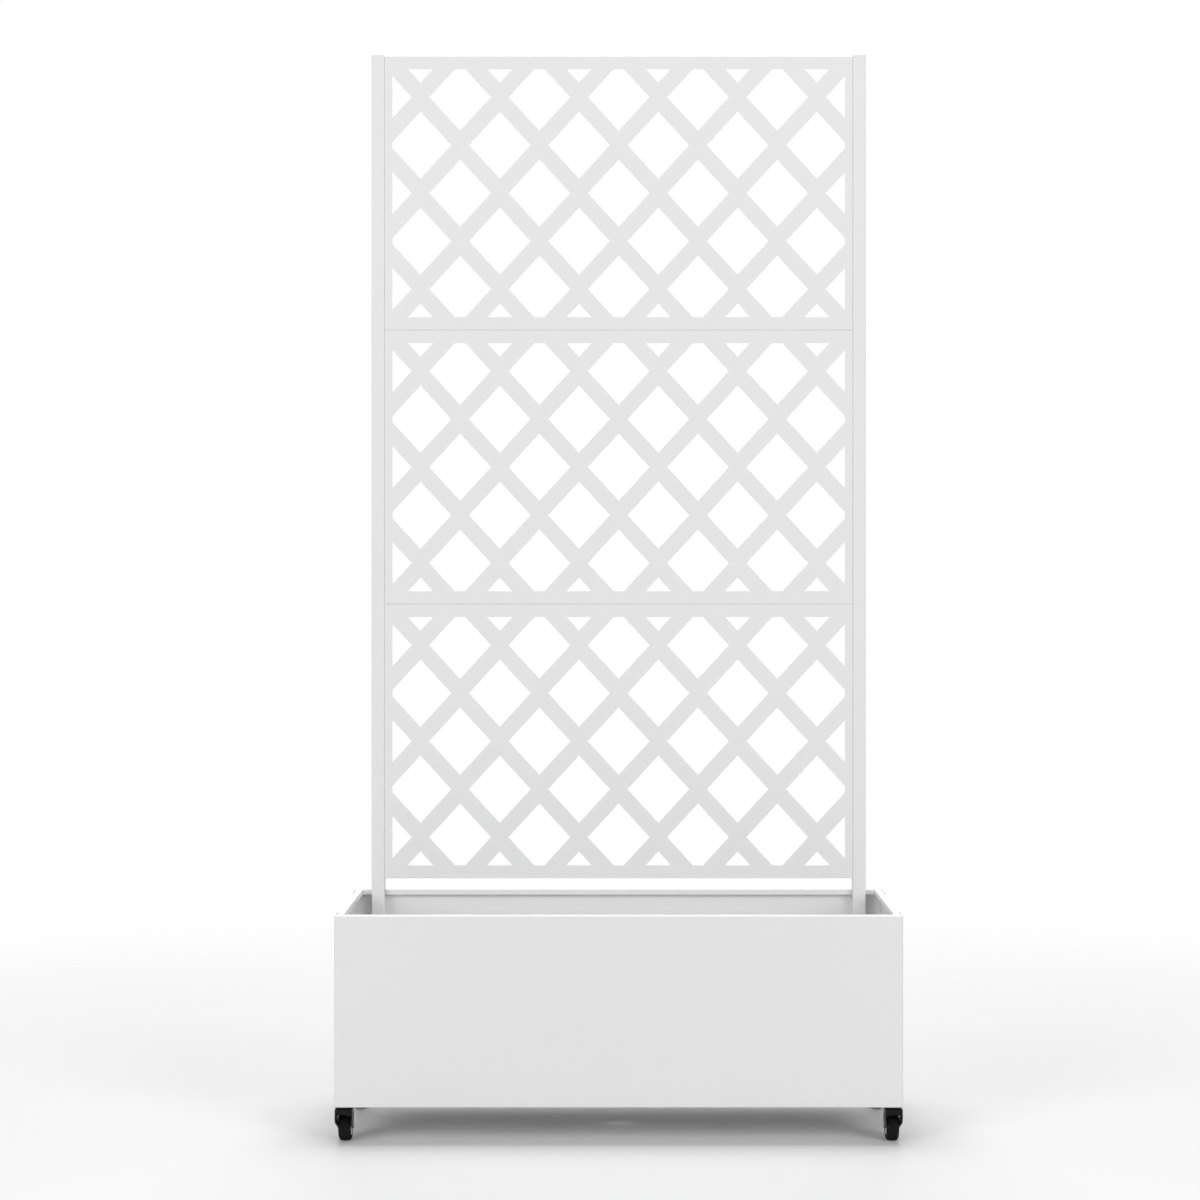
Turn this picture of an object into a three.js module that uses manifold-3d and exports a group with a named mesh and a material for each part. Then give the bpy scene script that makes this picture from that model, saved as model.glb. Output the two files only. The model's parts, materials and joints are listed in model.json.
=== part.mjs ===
// A planter box on four swivel casters, with a lattice trellis that rises behind it.
//
// Millimetres, +Z up. The front looks along -Y and the origin lies on the ground, under the middle
// of the whole planter. The box is four folded sheet walls round a floor panel. Two square posts
// stand on the floor against the back wall and hold three stacked lattice panels between them.

import * as THREE from 'three';
import { mergeVertices } from 'three/addons/utils/BufferGeometryUtils.js';
import Module from 'manifold-3d';

const wasm = await Module();
wasm.setup();

// ---- box ----
const BOX_WIDTH = 900;
const BOX_DEPTH = 300;
const BOX_HEIGHT = 304;
const BOX_SHEET = 1.2;
const BOX_BEND = 2.5; // outside radius of the folded edges
const RIM_WIDTH = 12; // top edge, folded inwards
const RIM_LIP = 8; // the rim's inner edge, folded down
const CORNER_LAP = 45; // front and back walls fold this far round the corners and under the floor
const SIDE_LEDGE = 15; // bottom flange of the side walls
const FLOOR_SHEET = 1.2;
const CORNER_GAP = 1; // sheet edges keep clear of the inside of a folded corner
const DRAIN_RADIUS = 10;

// ---- trellis ----
const POST_INSET = 30; // from the side of the box to the posts
const POST_SIDE = 22;
const POST_WALL = 1.2;
const POST_CORNER = 2;
const CAP_HEIGHT = 2;
const CAP_PLUG = 8;
const CAP_PLUG_GAP = 0.4;
const PANEL_COUNT = 3;
const PANEL_HEIGHT = 465.6;
const PANEL_SHEET = 1;
const PANEL_BEND = 2;
const PANEL_FLANGE = 18;
const PANEL_RECESS = 1; // the lattice lies this far behind the fronts of the posts
const PANEL_LIFT = 21.5; // from the rim of the box to the lowest panel
const STILE = 13; // plain border beside the lattice
const RAIL = 21.8; // plain border over and under the lattice
const HOLE_WIDTH = 105.3;
const HOLE_HEIGHT = 114.7;
const COLUMN_STEP = 67.4; // half the distance between neighbours in one row
const ROW_STEP = 81.6;
const POST_NOTCH_GAP = 0.6; // round the posts where they pass the rim

// ---- casters ----
const CASTER_HEIGHT = 60;
const WHEEL_RADIUS = 25;
const WHEEL_FACETS = 24;
const TYRE_WIDTH = 20;
const TYRE_SHOULDER = 5;
const TYRE_THICKNESS = 6;
const HUB_WEB = 8; // the thin middle of the hub
const HUB_RIM = 3;
const HUB_BOSS_RADIUS = 7;
const HUB_SIDE_GAP = 0.4; // from the hub's boss to the fork
const AXLE_RADIUS = 3;
const AXLE_HEAD_RADIUS = 5;
const AXLE_HEAD = 0.9;
const FORK_WIDTH = 27.5;
const FORK_SHEET = 1.8;
const FORK_LENGTH = 30; // front to back over the crown
const FORK_CORNER = 3.5;
const FORK_SKIRT = 19.6; // height of the fork's sides at their front
const FORK_ARCH = 7.9; // crown's height over the middle of the front arch
const FORK_ARCH_END = 14.8; // crown's height over both ends of the front arch
const FORK_ARCH_SPREAD = 1; // the front arch runs this far past the fork's sides
const FORK_BACK_SKIRT = 5.4; // height of the fork's sides at the back of the crown
const FORK_BOSS_RADIUS = 6.6;
const SWIVEL_TRAIL = 24; // the axle lies this far behind the swivel axis
const SWIVEL_INSET_X = 14; // from the side of the box
const SWIVEL_INSET_Y = 16; // from the front or back of the box
const STEM_RADIUS = 4;
const STEM_COLLAR_RADIUS = 13;
const STEM_COLLAR = 3;
const STEM_RIVET_RADIUS = 6;
const STEM_RIVET = 2.4;
const STEM_END = 1; // thread standing over the nut
const NUT_FLATS = 13;
const NUT_HEIGHT = 5;
const NUT_FLANGE_RADIUS = 8.5;
const NUT_FLANGE = 1.5;

// ---- screws and clearances ----
const SCREW_RADIUS = 2.4;
const SCREW_HOLE_GAP = 0.3;
const SCREW_HEAD_RADIUS = 4.75;
const SCREW_HEAD_TOP_RADIUS = 3.3;
const SCREW_HEAD = 2;
const SCREW_LENGTH = 9;
const CORNER_SCREW_HEIGHTS = [70, 235]; // over the bottom of the box
const POST_SCREW_HEIGHTS = [60, 250]; // over the bottom of the box
const PANEL_SCREW_SPACING = 300;
const SEAT = 0.3; // between pieces that rest on each other
const RUNNING_GAP = 0.3; // round turning shafts
const ARC_STEPS = 4; // facets in a quarter of a folded edge
const ROUND_FACETS = 12; // facets of small round pieces
const SCREW_FACETS = 8;

// ---- places worked out from the sizes ----
const BOX_BOTTOM = CASTER_HEIGHT;
const BOX_TOP = BOX_BOTTOM + BOX_HEIGHT;
const WALL_LAP = BOX_SHEET + SEAT; // a side wall lies this far inside the folded corners
const FLOOR_BOTTOM = BOX_BOTTOM + BOX_SHEET + SEAT;
const FLOOR_TOP = FLOOR_BOTTOM + FLOOR_SHEET;
const SIDE_WALL_LENGTH = BOX_DEPTH - 2 * (BOX_SHEET + CORNER_GAP);
const POST_X = BOX_WIDTH / 2 - POST_INSET - POST_SIDE / 2;
const POST_Y = BOX_DEPTH / 2 - WALL_LAP - POST_SIDE / 2;
const PANEL_WIDTH = 2 * (POST_X - POST_SIDE / 2 - SEAT);
const PANEL_BOTTOM = BOX_TOP + PANEL_LIFT;
const PANEL_PITCH = PANEL_HEIGHT + SEAT;
const PANEL_FRONT = POST_Y - POST_SIDE / 2 + PANEL_RECESS;
const PANEL_SCREW_Y = PANEL_RECESS + PANEL_FLANGE / 2;
const TRELLIS_TOP = PANEL_BOTTOM + PANEL_COUNT * PANEL_PITCH - SEAT;
const POST_BOTTOM = FLOOR_TOP + SEAT;
const SWIVEL_X = BOX_WIDTH / 2 - SWIVEL_INSET_X;
const SWIVEL_Y = BOX_DEPTH / 2 - SWIVEL_INSET_Y;
const AXLE_Z = WHEEL_RADIUS * Math.cos(Math.PI / WHEEL_FACETS); // a facet lies flat on the ground
const FORK_TOP = BOX_BOTTOM - SEAT - STEM_COLLAR - SEAT;
const FORK_HALF = FORK_WIDTH / 2;
const HUB_RADIUS = WHEEL_RADIUS - TYRE_THICKNESS;
const NUT_BOTTOM = FLOOR_TOP + SEAT;
const HOLE_RADIUS = SCREW_RADIUS + SCREW_HOLE_GAP;
const STEM_HOLE_RADIUS = STEM_RADIUS + RUNNING_GAP;
const AXLE_HOLE_RADIUS = AXLE_RADIUS + RUNNING_GAP;
const CUT = 50; // how far a cutter stands past what it cuts

const QUARTER = Math.PI / 2; // a right angle
const AXIS_X = new THREE.Vector3(1, 0, 0);
const AXIS_Y = new THREE.Vector3(0, 1, 0);
const AXIS_Z = new THREE.Vector3(0, 0, 1);

// ---- finishes ----
const finish = (name, color, roughness, metalness) => (
  new THREE.MeshStandardMaterial({ name, color, roughness, metalness })
);
const whiteCoat = finish('white_coat', 0xe9e9e9, 0.5, 0);
const whitePlastic = finish('white_plastic', 0xececec, 0.45, 0);
const blackSteel = finish('black_steel', 0x1c1c1d, 0.5, 0.3);
const tyreRubber = finish('tyre_rubber', 0x191919, 0.8, 0);
const hubPlastic = finish('hub_plastic', 0x8d8f91, 0.6, 0);
const zincSteel = finish('zinc_steel', 0xb9bcc0, 0.35, 0.9);

// ---- solids ----

// Turns a closed geometry into a solid that can be joined and cut.
function solid(geometry) {
  const bare = geometry.clone();
  bare.deleteAttribute('normal');
  bare.deleteAttribute('uv');
  const merged = mergeVertices(bare, 1e-4);
  const corners = merged.index.array;
  const kept = [];
  for (let i = 0; i < corners.length; i += 3) {
    const [a, b, c] = [corners[i], corners[i + 1], corners[i + 2]];
    if (a !== b && b !== c && c !== a) kept.push(a, b, c);
  }
  return new wasm.Manifold(new wasm.Mesh({
    numProp: 3,
    vertProperties: merged.attributes.position.array,
    triVerts: Uint32Array.from(kept),
  }));
}

// Turns a solid back into a geometry with flat faces.
function surface(body) {
  const mesh = body.getMesh();
  const geometry = new THREE.BufferGeometry();
  geometry.setAttribute('position', new THREE.BufferAttribute(mesh.vertProperties, 3));
  geometry.setIndex(new THREE.BufferAttribute(mesh.triVerts, 1));
  const flat = geometry.toNonIndexed();
  flat.computeVertexNormals();
  return flat;
}

// A block between two corners.
function block([x0, y0, z0], [x1, y1, z1]) {
  const box = new THREE.BoxGeometry(x1 - x0, y1 - y0, z1 - z0);
  return solid(box.translate((x0 + x1) / 2, (y0 + y1) / 2, (z0 + z1) / 2));
}

function extrusion(shape, depth, curveSegments = ARC_STEPS) {
  return new THREE.ExtrudeGeometry(shape, { depth, bevelEnabled: false, curveSegments });
}

// An outline in Y and Z, carried along X from x0 to x1.
function prismX(shape, x0, x1) {
  const geometry = extrusion(shape, x1 - x0);
  geometry.applyMatrix4(new THREE.Matrix4().makeBasis(AXIS_Y, AXIS_Z, AXIS_X));
  return solid(geometry.translate(x0, 0, 0));
}

// An outline in X and Z, carried along Y from y0 to y1.
function prismY(shape, y0, y1, curveSegments) {
  const geometry = extrusion(shape, y1 - y0, curveSegments);
  geometry.applyMatrix4(new THREE.Matrix4().makeBasis(AXIS_X, AXIS_Z, AXIS_Y.clone().negate()));
  return solid(geometry.translate(0, y1, 0));
}

// An outline in X and Y, carried along Z from z0 to z1.
function prismZ(shape, z0, z1) {
  return solid(extrusion(shape, z1 - z0).translate(0, 0, z0));
}

// A round rod along X, Y or Z through the point at.
function rod(axis, radius, length, at, facets = ROUND_FACETS) {
  const geometry = new THREE.CylinderGeometry(radius, radius, length, facets);
  geometry.applyQuaternion(new THREE.Quaternion().setFromUnitVectors(AXIS_Y, axis));
  return solid(geometry.translate(...at));
}

// A profile of [radius, height] points, turned about Z. It runs out, up and back in.
function turned(profile, facets) {
  const points = profile.map(([radius, height]) => new THREE.Vector2(radius, height));
  const geometry = new THREE.LatheGeometry(points, facets);
  return solid(geometry.applyQuaternion(new THREE.Quaternion().setFromUnitVectors(AXIS_Y, AXIS_Z)));
}

// Points of a quarter circle about a centre, from one angle over the next 90 degrees.
function quarter([u, v], radius, startDegrees) {
  const points = [];
  for (let step = 0; step <= ARC_STEPS; step += 1) {
    const angle = THREE.MathUtils.degToRad(startDegrees + (90 * step) / ARC_STEPS);
    points.push([u + radius * Math.cos(angle), v + radius * Math.sin(angle)]);
  }
  return points;
}

function outline(points) {
  return new THREE.Shape(points.map(([u, v]) => new THREE.Vector2(u, v)));
}

// A rectangle with round corners, centred on 0, 0.
function roundedRectangle(width, height, radius) {
  const u = width / 2 - radius;
  const v = height / 2 - radius;
  return outline([
    ...quarter([u, v], radius, 0),
    ...quarter([-u, v], radius, 90),
    ...quarter([-u, -v], radius, 180),
    ...quarter([u, -v], radius, 270),
  ]);
}

// ---- folded sheet ----

// Side view of a filled fold: y runs back from the face, z goes up, front corners are round.
function foldOutline(height, depth, radius) {
  return outline([
    ...quarter([radius, radius], radius, 180),
    [depth, 0],
    [depth, height],
    ...quarter([radius, height - radius], radius, 90),
  ]);
}

// Top view of a filled tray: x runs across, y runs back from the face.
function trayPlan(width, depth, radius) {
  const x = width / 2;
  return outline([
    ...quarter([-x + radius, radius], radius, 180),
    ...quarter([x - radius, radius], radius, 270),
    [x, depth],
    [-x, depth],
  ]);
}

function filledTray(width, height, depth, radius) {
  const across = prismX(foldOutline(height, depth, radius), -width / 2, width / 2);
  return across.intersect(prismZ(trayPlan(width, depth, radius), 0, height));
}

// A sheet with all four edges folded back by depth. The face stands at y = 0, bottom edge at z = 0.
function tray(width, height, depth, sheet, bend) {
  const inside = filledTray(width - 2 * sheet, height - 2 * sheet, depth, bend - sheet);
  return filledTray(width, height, depth, bend).subtract(inside.translate([0, sheet, sheet]));
}

// A sheet with only its top and bottom edges folded back by depth.
function channel(width, height, depth, sheet, bend) {
  const outside = prismX(foldOutline(height, depth, bend), -width / 2, width / 2);
  const hollow = foldOutline(height - 2 * sheet, depth, bend - sheet);
  const inside = prismX(hollow, -width / 2 - CUT, width / 2 + CUT);
  return outside.subtract(inside.translate([0, sheet, sheet]));
}

// The rim's inner edge, folded down, over a length centred on x = 0.
function rimLip(length) {
  return block(
    [-length / 2, RIM_WIDTH - BOX_SHEET, BOX_HEIGHT - RIM_LIP],
    [length / 2, RIM_WIDTH, BOX_HEIGHT],
  );
}

// Keeps the top flange of a folded wall as narrow as the rim.
function trimmedRim(wall, width, sheet) {
  const surplus = block(
    [-width / 2 + sheet, RIM_WIDTH, BOX_HEIGHT - sheet - BOX_BEND],
    [width / 2 - sheet, CORNER_LAP + CUT, BOX_HEIGHT + CUT],
  );
  return wall.subtract(surplus);
}

// A front or back wall, seen from outside: its face at y = 0 and its bottom edge at z = 0.
function endWall() {
  const folded = tray(BOX_WIDTH, BOX_HEIGHT, CORNER_LAP, BOX_SHEET, BOX_BEND);
  const lipLength = BOX_WIDTH - 2 * (WALL_LAP + BOX_SHEET + SEAT);
  let wall = trimmedRim(folded, BOX_WIDTH, BOX_SHEET).add(rimLip(lipLength));
  for (const side of [-1, 1]) {
    const stemHole = [side * SWIVEL_X, SWIVEL_INSET_Y, 0];
    wall = wall.subtract(rod(AXIS_Z, STEM_HOLE_RADIUS, CUT, stemHole));
    for (const height of CORNER_SCREW_HEIGHTS) {
      const screwHole = [(side * BOX_WIDTH) / 2, CORNER_LAP / 2, height];
      wall = wall.subtract(rod(AXIS_X, HOLE_RADIUS, CUT, screwHole));
    }
  }
  return wall;
}

// The back wall also lets the posts through its rim and takes their screws.
function backWall() {
  let wall = endWall();
  for (const side of [-1, 1]) {
    const x = side * POST_X;
    const reach = POST_SIDE / 2 + POST_NOTCH_GAP;
    wall = wall.subtract(block(
      [x - reach, BOX_SHEET, BOX_HEIGHT - RIM_LIP - POST_NOTCH_GAP],
      [x + reach, RIM_WIDTH + POST_NOTCH_GAP, BOX_HEIGHT + CUT],
    ));
    for (const height of POST_SCREW_HEIGHTS) {
      wall = wall.subtract(rod(AXIS_Y, HOLE_RADIUS, CUT, [x, 0, height]));
    }
  }
  return wall;
}

// A side wall, seen from outside, cut clear of the rims and flanges of the walls that it meets.
function sideWall() {
  const folded = channel(SIDE_WALL_LENGTH, BOX_HEIGHT, SIDE_LEDGE, BOX_SHEET, BOX_BEND);
  const surplusRim = block(
    [-SIDE_WALL_LENGTH / 2 - CUT, RIM_WIDTH, BOX_HEIGHT - BOX_SHEET - BOX_BEND],
    [SIDE_WALL_LENGTH / 2 + CUT, SIDE_LEDGE + CUT, BOX_HEIGHT + CUT],
  );
  let wall = folded.subtract(surplusRim).add(rimLip(SIDE_WALL_LENGTH));
  const rimStart = BOX_DEPTH / 2 - RIM_WIDTH - SEAT;
  const ledgeStart = BOX_DEPTH / 2 - CORNER_LAP - SEAT;
  const lipLow = BOX_HEIGHT - RIM_LIP - SEAT;
  for (const side of [-1, 1]) {
    const end = side * (SIDE_WALL_LENGTH / 2 + CUT);
    const across = (start) => [Math.min(side * start, end), Math.max(side * start, end)];
    const [rimLow, rimHigh] = across(rimStart);
    const [ledgeLow, ledgeHigh] = across(ledgeStart);
    wall = wall
      .subtract(block([rimLow, -CUT, BOX_HEIGHT - WALL_LAP], [rimHigh, CUT, BOX_HEIGHT + CUT]))
      .subtract(block([rimLow, BOX_SHEET, lipLow], [rimHigh, CUT, BOX_HEIGHT + CUT]))
      .subtract(block([ledgeLow, -CUT, -CUT], [ledgeHigh, CUT, WALL_LAP]));
    for (const height of CORNER_SCREW_HEIGHTS) {
      const x = side * (BOX_DEPTH / 2 - CORNER_LAP / 2);
      wall = wall.subtract(rod(AXIS_Y, HOLE_RADIUS, CUT, [x, 0, height]));
    }
  }
  return wall;
}

function floorPanel() {
  const x = BOX_WIDTH / 2 - WALL_LAP - BOX_SHEET - CORNER_GAP;
  const y = BOX_DEPTH / 2 - BOX_SHEET - CORNER_GAP;
  let panel = block([-x, -y, FLOOR_BOTTOM], [x, y, FLOOR_TOP]);
  panel = panel.subtract(rod(AXIS_Z, DRAIN_RADIUS, CUT, [0, 0, FLOOR_BOTTOM], 2 * ROUND_FACETS));
  for (const sideX of [-1, 1]) {
    for (const sideY of [-1, 1]) {
      const at = [sideX * SWIVEL_X, sideY * SWIVEL_Y, FLOOR_BOTTOM];
      panel = panel.subtract(rod(AXIS_Z, STEM_HOLE_RADIUS, CUT, at));
    }
  }
  return panel;
}

// ---- trellis ----

// A square post, centred on the Z axis. inward is the direction of the lattice, 1 or -1 along X.
function post(inward) {
  const inner = POST_SIDE - 2 * POST_WALL;
  const full = roundedRectangle(POST_SIDE, POST_SIDE, POST_CORNER);
  const bore = roundedRectangle(inner, inner, POST_CORNER - POST_WALL);
  let tube = prismZ(full, POST_BOTTOM, TRELLIS_TOP)
    .subtract(prismZ(bore, POST_BOTTOM - CUT, TRELLIS_TOP + CUT));
  for (const height of POST_SCREW_HEIGHTS) {
    const at = [0, POST_SIDE / 2, BOX_BOTTOM + height];
    tube = tube.subtract(rod(AXIS_Y, HOLE_RADIUS, POST_SIDE / 2, at));
  }
  for (const height of panelScrewHeights()) {
    const at = [(inward * POST_SIDE) / 2, PANEL_SCREW_Y - POST_SIDE / 2, height];
    tube = tube.subtract(rod(AXIS_X, HOLE_RADIUS, POST_SIDE / 2, at));
  }
  return tube;
}

function postCap() {
  const plugSide = POST_SIDE - 2 * (POST_WALL + CAP_PLUG_GAP);
  const lid = prismZ(roundedRectangle(POST_SIDE, POST_SIDE, POST_CORNER), 0, CAP_HEIGHT);
  return lid.add(prismZ(roundedRectangle(plugSide, plugSide, POST_WALL), -CAP_PLUG, CAP_HEIGHT / 2));
}

function panelBottoms() {
  return Array.from({ length: PANEL_COUNT }, (_, index) => PANEL_BOTTOM + index * PANEL_PITCH);
}

function panelScrewHeights() {
  const heights = [];
  for (const bottom of panelBottoms()) {
    const middle = bottom + PANEL_HEIGHT / 2;
    heights.push(middle - PANEL_SCREW_SPACING / 2, middle + PANEL_SCREW_SPACING / 2);
  }
  return heights;
}

// Staggered diamonds that fill the window of a panel: odd rows lie half a step aside.
function latticeHoles() {
  const halfWidth = PANEL_WIDTH / 2 - STILE;
  const halfHeight = PANEL_HEIGHT / 2 - RAIL;
  const diamond = outline([
    [HOLE_WIDTH / 2, 0],
    [0, HOLE_HEIGHT / 2],
    [-HOLE_WIDTH / 2, 0],
    [0, -HOLE_HEIGHT / 2],
  ]);
  const cutter = prismY(diamond, -CUT, CUT);
  const window = block(
    [-halfWidth, -CUT, PANEL_HEIGHT / 2 - halfHeight],
    [halfWidth, CUT, PANEL_HEIGHT / 2 + halfHeight],
  );
  const rows = Math.ceil((halfHeight + HOLE_HEIGHT / 2) / ROW_STEP);
  const columns = Math.ceil((halfWidth + HOLE_WIDTH / 2) / COLUMN_STEP);
  let holes = cutter.translate([0, 0, PANEL_HEIGHT / 2]);
  for (let row = -rows; row <= rows; row += 1) {
    for (let column = -columns; column <= columns; column += 1) {
      if (Math.abs(row + column) % 2 === 0) {
        const place = [column * COLUMN_STEP, 0, PANEL_HEIGHT / 2 + row * ROW_STEP];
        holes = holes.add(cutter.translate(place));
      }
    }
  }
  return holes.intersect(window);
}

// A lattice panel: its face at y = 0 and its bottom edge at z = 0.
function latticePanel() {
  let panel = tray(PANEL_WIDTH, PANEL_HEIGHT, PANEL_FLANGE, PANEL_SHEET, PANEL_BEND);
  panel = panel.subtract(latticeHoles());
  for (const side of [-1, 1]) {
    for (const step of [-1, 1]) {
      const height = (PANEL_HEIGHT + step * PANEL_SCREW_SPACING) / 2;
      const at = [(side * PANEL_WIDTH) / 2, PANEL_FLANGE / 2, height];
      panel = panel.subtract(rod(AXIS_X, HOLE_RADIUS, 2 * SCREW_LENGTH, at));
    }
  }
  return panel;
}

// ---- casters: the swivel axis is Z, the wheel trails behind along +Y, the ground is z = 0 ----

// The fixed middle of a caster: threaded stem, bearing collar and the rivet under the crown.
function casterStem() {
  const collarTop = BOX_BOTTOM - SEAT;
  const rivetTop = FORK_TOP - FORK_SHEET - SEAT;
  const stemTop = NUT_BOTTOM + NUT_FLANGE + NUT_HEIGHT + STEM_END;
  return turned([
    [0, rivetTop - STEM_RIVET],
    [STEM_RIVET_RADIUS, rivetTop - STEM_RIVET],
    [STEM_RIVET_RADIUS, rivetTop],
    [STEM_RADIUS, rivetTop],
    [STEM_RADIUS, collarTop - STEM_COLLAR],
    [STEM_COLLAR_RADIUS, collarTop - STEM_COLLAR],
    [STEM_COLLAR_RADIUS, collarTop],
    [STEM_RADIUS, collarTop],
    [STEM_RADIUS, stemTop],
    [0, stemTop],
  ], ROUND_FACETS);
}

function flangeNut() {
  const hexRadius = NUT_FLATS / Math.sqrt(3);
  const hex = rod(AXIS_Z, hexRadius, NUT_HEIGHT, [0, 0, NUT_FLANGE + NUT_HEIGHT / 2], 6);
  const flange = rod(AXIS_Z, NUT_FLANGE_RADIUS, NUT_FLANGE, [0, 0, NUT_FLANGE / 2]);
  return hex.add(flange).subtract(rod(AXIS_Z, STEM_HOLE_RADIUS, CUT, [0, 0, 0]));
}

// Side view of the fork: a crown over the swivel axis and legs that sweep back to the axle. Their
// lower edge runs straight from the front corner to the underside of the round boss.
function forkProfile() {
  const back = FORK_LENGTH / 2;
  const corner = new THREE.Vector2(-back, FORK_TOP - FORK_SKIRT);
  const toAxle = new THREE.Vector2(SWIVEL_TRAIL, AXLE_Z).sub(corner);
  const distance = toAxle.length();
  const turn = Math.asin(FORK_BOSS_RADIUS / distance);
  const touch = toAxle.rotateAround(new THREE.Vector2(), -turn).multiplyScalar(Math.cos(turn));
  return outline([
    [corner.x, FORK_TOP],
    corner.toArray(),
    touch.add(corner).toArray(),
    [SWIVEL_TRAIL, AXLE_Z],
    [SWIVEL_TRAIL + FORK_BOSS_RADIUS, AXLE_Z],
    [back, FORK_TOP - FORK_BACK_SKIRT],
    [back, FORK_TOP],
  ]);
}

// The front opening of the crown, an arch across the whole width.
function forkArch() {
  const halfWidth = FORK_HALF + FORK_ARCH_SPREAD;
  const top = FORK_TOP - FORK_ARCH;
  const bottom = FORK_TOP - FORK_ARCH_END;
  const arch = new THREE.Shape();
  arch.moveTo(halfWidth, bottom - CUT);
  arch.lineTo(halfWidth, bottom);
  arch.absellipse(0, bottom, halfWidth, top - bottom, 0, Math.PI, false, 0);
  arch.lineTo(-halfWidth, bottom - CUT);
  return arch;
}

function casterFork() {
  const front = -FORK_LENGTH / 2;
  const reach = SWIVEL_TRAIL + FORK_BOSS_RADIUS + FORK_LENGTH;
  const plan = trayPlan(FORK_WIDTH, reach, FORK_CORNER);
  const axle = [0, SWIVEL_TRAIL, AXLE_Z];
  const hollowPlan = trayPlan(FORK_WIDTH - 2 * FORK_SHEET, reach + CUT, FORK_CORNER - FORK_SHEET);
  const hollow = prismZ(hollowPlan, -CUT, FORK_TOP - FORK_SHEET).translate([0, front + FORK_SHEET, 0]);
  return prismX(forkProfile(), -FORK_HALF, FORK_HALF)
    .add(rod(AXIS_X, FORK_BOSS_RADIUS, FORK_WIDTH, axle))
    .intersect(prismZ(plan, 0, FORK_TOP).translate([0, front, 0]))
    .subtract(hollow)
    .subtract(prismY(forkArch(), front - CUT, front + FORK_CORNER, 2 * ARC_STEPS))
    .subtract(rod(AXIS_Z, STEM_HOLE_RADIUS, CUT, [0, 0, FORK_TOP]))
    .subtract(rod(AXIS_X, AXLE_HOLE_RADIUS, 2 * FORK_WIDTH, axle));
}

// The axle is a rivet along X, turned about Z first: its middle is at 0, 0, 0.
function casterAxle() {
  const under = FORK_HALF + SEAT;
  const end = under + AXLE_HEAD;
  return turned([
    [0, -end],
    [AXLE_HEAD_RADIUS, -end],
    [AXLE_HEAD_RADIUS, -under],
    [AXLE_RADIUS, -under],
    [AXLE_RADIUS, under],
    [AXLE_HEAD_RADIUS, under],
    [AXLE_HEAD_RADIUS, end],
    [0, end],
  ], ROUND_FACETS);
}

// The tyre, turned about Z: a band with round shoulders.
function casterTyre() {
  const half = TYRE_WIDTH / 2;
  const shoulder = WHEEL_RADIUS - TYRE_SHOULDER;
  return turned([
    [HUB_RADIUS + SEAT, -half],
    ...quarter([shoulder, -half + TYRE_SHOULDER], TYRE_SHOULDER, 270),
    ...quarter([shoulder, half - TYRE_SHOULDER], TYRE_SHOULDER, 0),
    [HUB_RADIUS + SEAT, half],
    [HUB_RADIUS + SEAT, -half],
  ], WHEEL_FACETS);
}

// The hub, turned about Z: a rim, a thin web and a boss that reaches the fork on both sides.
function casterHub() {
  const half = TYRE_WIDTH / 2;
  const web = HUB_WEB / 2;
  const boss = FORK_HALF - FORK_SHEET - HUB_SIDE_GAP;
  const rim = HUB_RADIUS - HUB_RIM;
  return turned([
    [AXLE_HOLE_RADIUS, -boss],
    [HUB_BOSS_RADIUS, -boss],
    [HUB_BOSS_RADIUS, -web],
    [rim, -web],
    [rim, -half],
    [HUB_RADIUS, -half],
    [HUB_RADIUS, half],
    [rim, half],
    [rim, web],
    [HUB_BOSS_RADIUS, web],
    [HUB_BOSS_RADIUS, boss],
    [AXLE_HOLE_RADIUS, boss],
    [AXLE_HOLE_RADIUS, -boss],
  ], WHEEL_FACETS);
}

// A screw along Z: the underside of its head lies at z = 0 and its shank points down.
function screw() {
  return turned([
    [0, -SCREW_LENGTH],
    [SCREW_RADIUS, -SCREW_LENGTH],
    [SCREW_RADIUS, 0],
    [SCREW_HEAD_RADIUS, 0],
    [SCREW_HEAD_RADIUS, SCREW_HEAD / 2],
    [SCREW_HEAD_TOP_RADIUS, SCREW_HEAD],
    [0, SCREW_HEAD],
  ], SCREW_FACETS);
}

// ---- assembly ----

const planter = new THREE.Group();
// The screw heads stand out of the back, so the middle of the whole lies behind that of the box.
planter.position.y = -(SEAT + SCREW_HEAD) / 2;

function place(parent, name, body, material, position = [0, 0, 0], turn = [0, 0, 0]) {
  const mesh = new THREE.Mesh(surface(body), material.clone());
  mesh.name = name;
  mesh.position.set(...position);
  mesh.rotation.set(...turn);
  parent.add(mesh);
}

function addBox() {
  const sideX = BOX_WIDTH / 2 - WALL_LAP;
  place(planter, 'front_wall', endWall(), whiteCoat, [0, -BOX_DEPTH / 2, BOX_BOTTOM]);
  place(planter, 'back_wall', backWall(), whiteCoat, [0, BOX_DEPTH / 2, BOX_BOTTOM], [0, 0, Math.PI]);
  place(planter, 'left_wall', sideWall(), whiteCoat, [-sideX, 0, BOX_BOTTOM], [0, 0, -QUARTER]);
  place(planter, 'right_wall', sideWall(), whiteCoat, [sideX, 0, BOX_BOTTOM], [0, 0, QUARTER]);
  place(planter, 'floor_panel', floorPanel(), whiteCoat);
}

function addTrellis() {
  const capZ = TRELLIS_TOP + SEAT;
  for (const [label, side] of [['left', -1], ['right', 1]]) {
    place(planter, `${label}_post`, post(-side), whiteCoat, [side * POST_X, POST_Y, 0]);
    place(planter, `${label}_post_cap`, postCap(), whitePlastic, [side * POST_X, POST_Y, capZ]);
  }
  const panel = latticePanel();
  panelBottoms().forEach((bottom, index) => {
    place(planter, `lattice_panel_${index + 1}`, panel, whiteCoat, [0, PANEL_FRONT, bottom]);
  });
}

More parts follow.
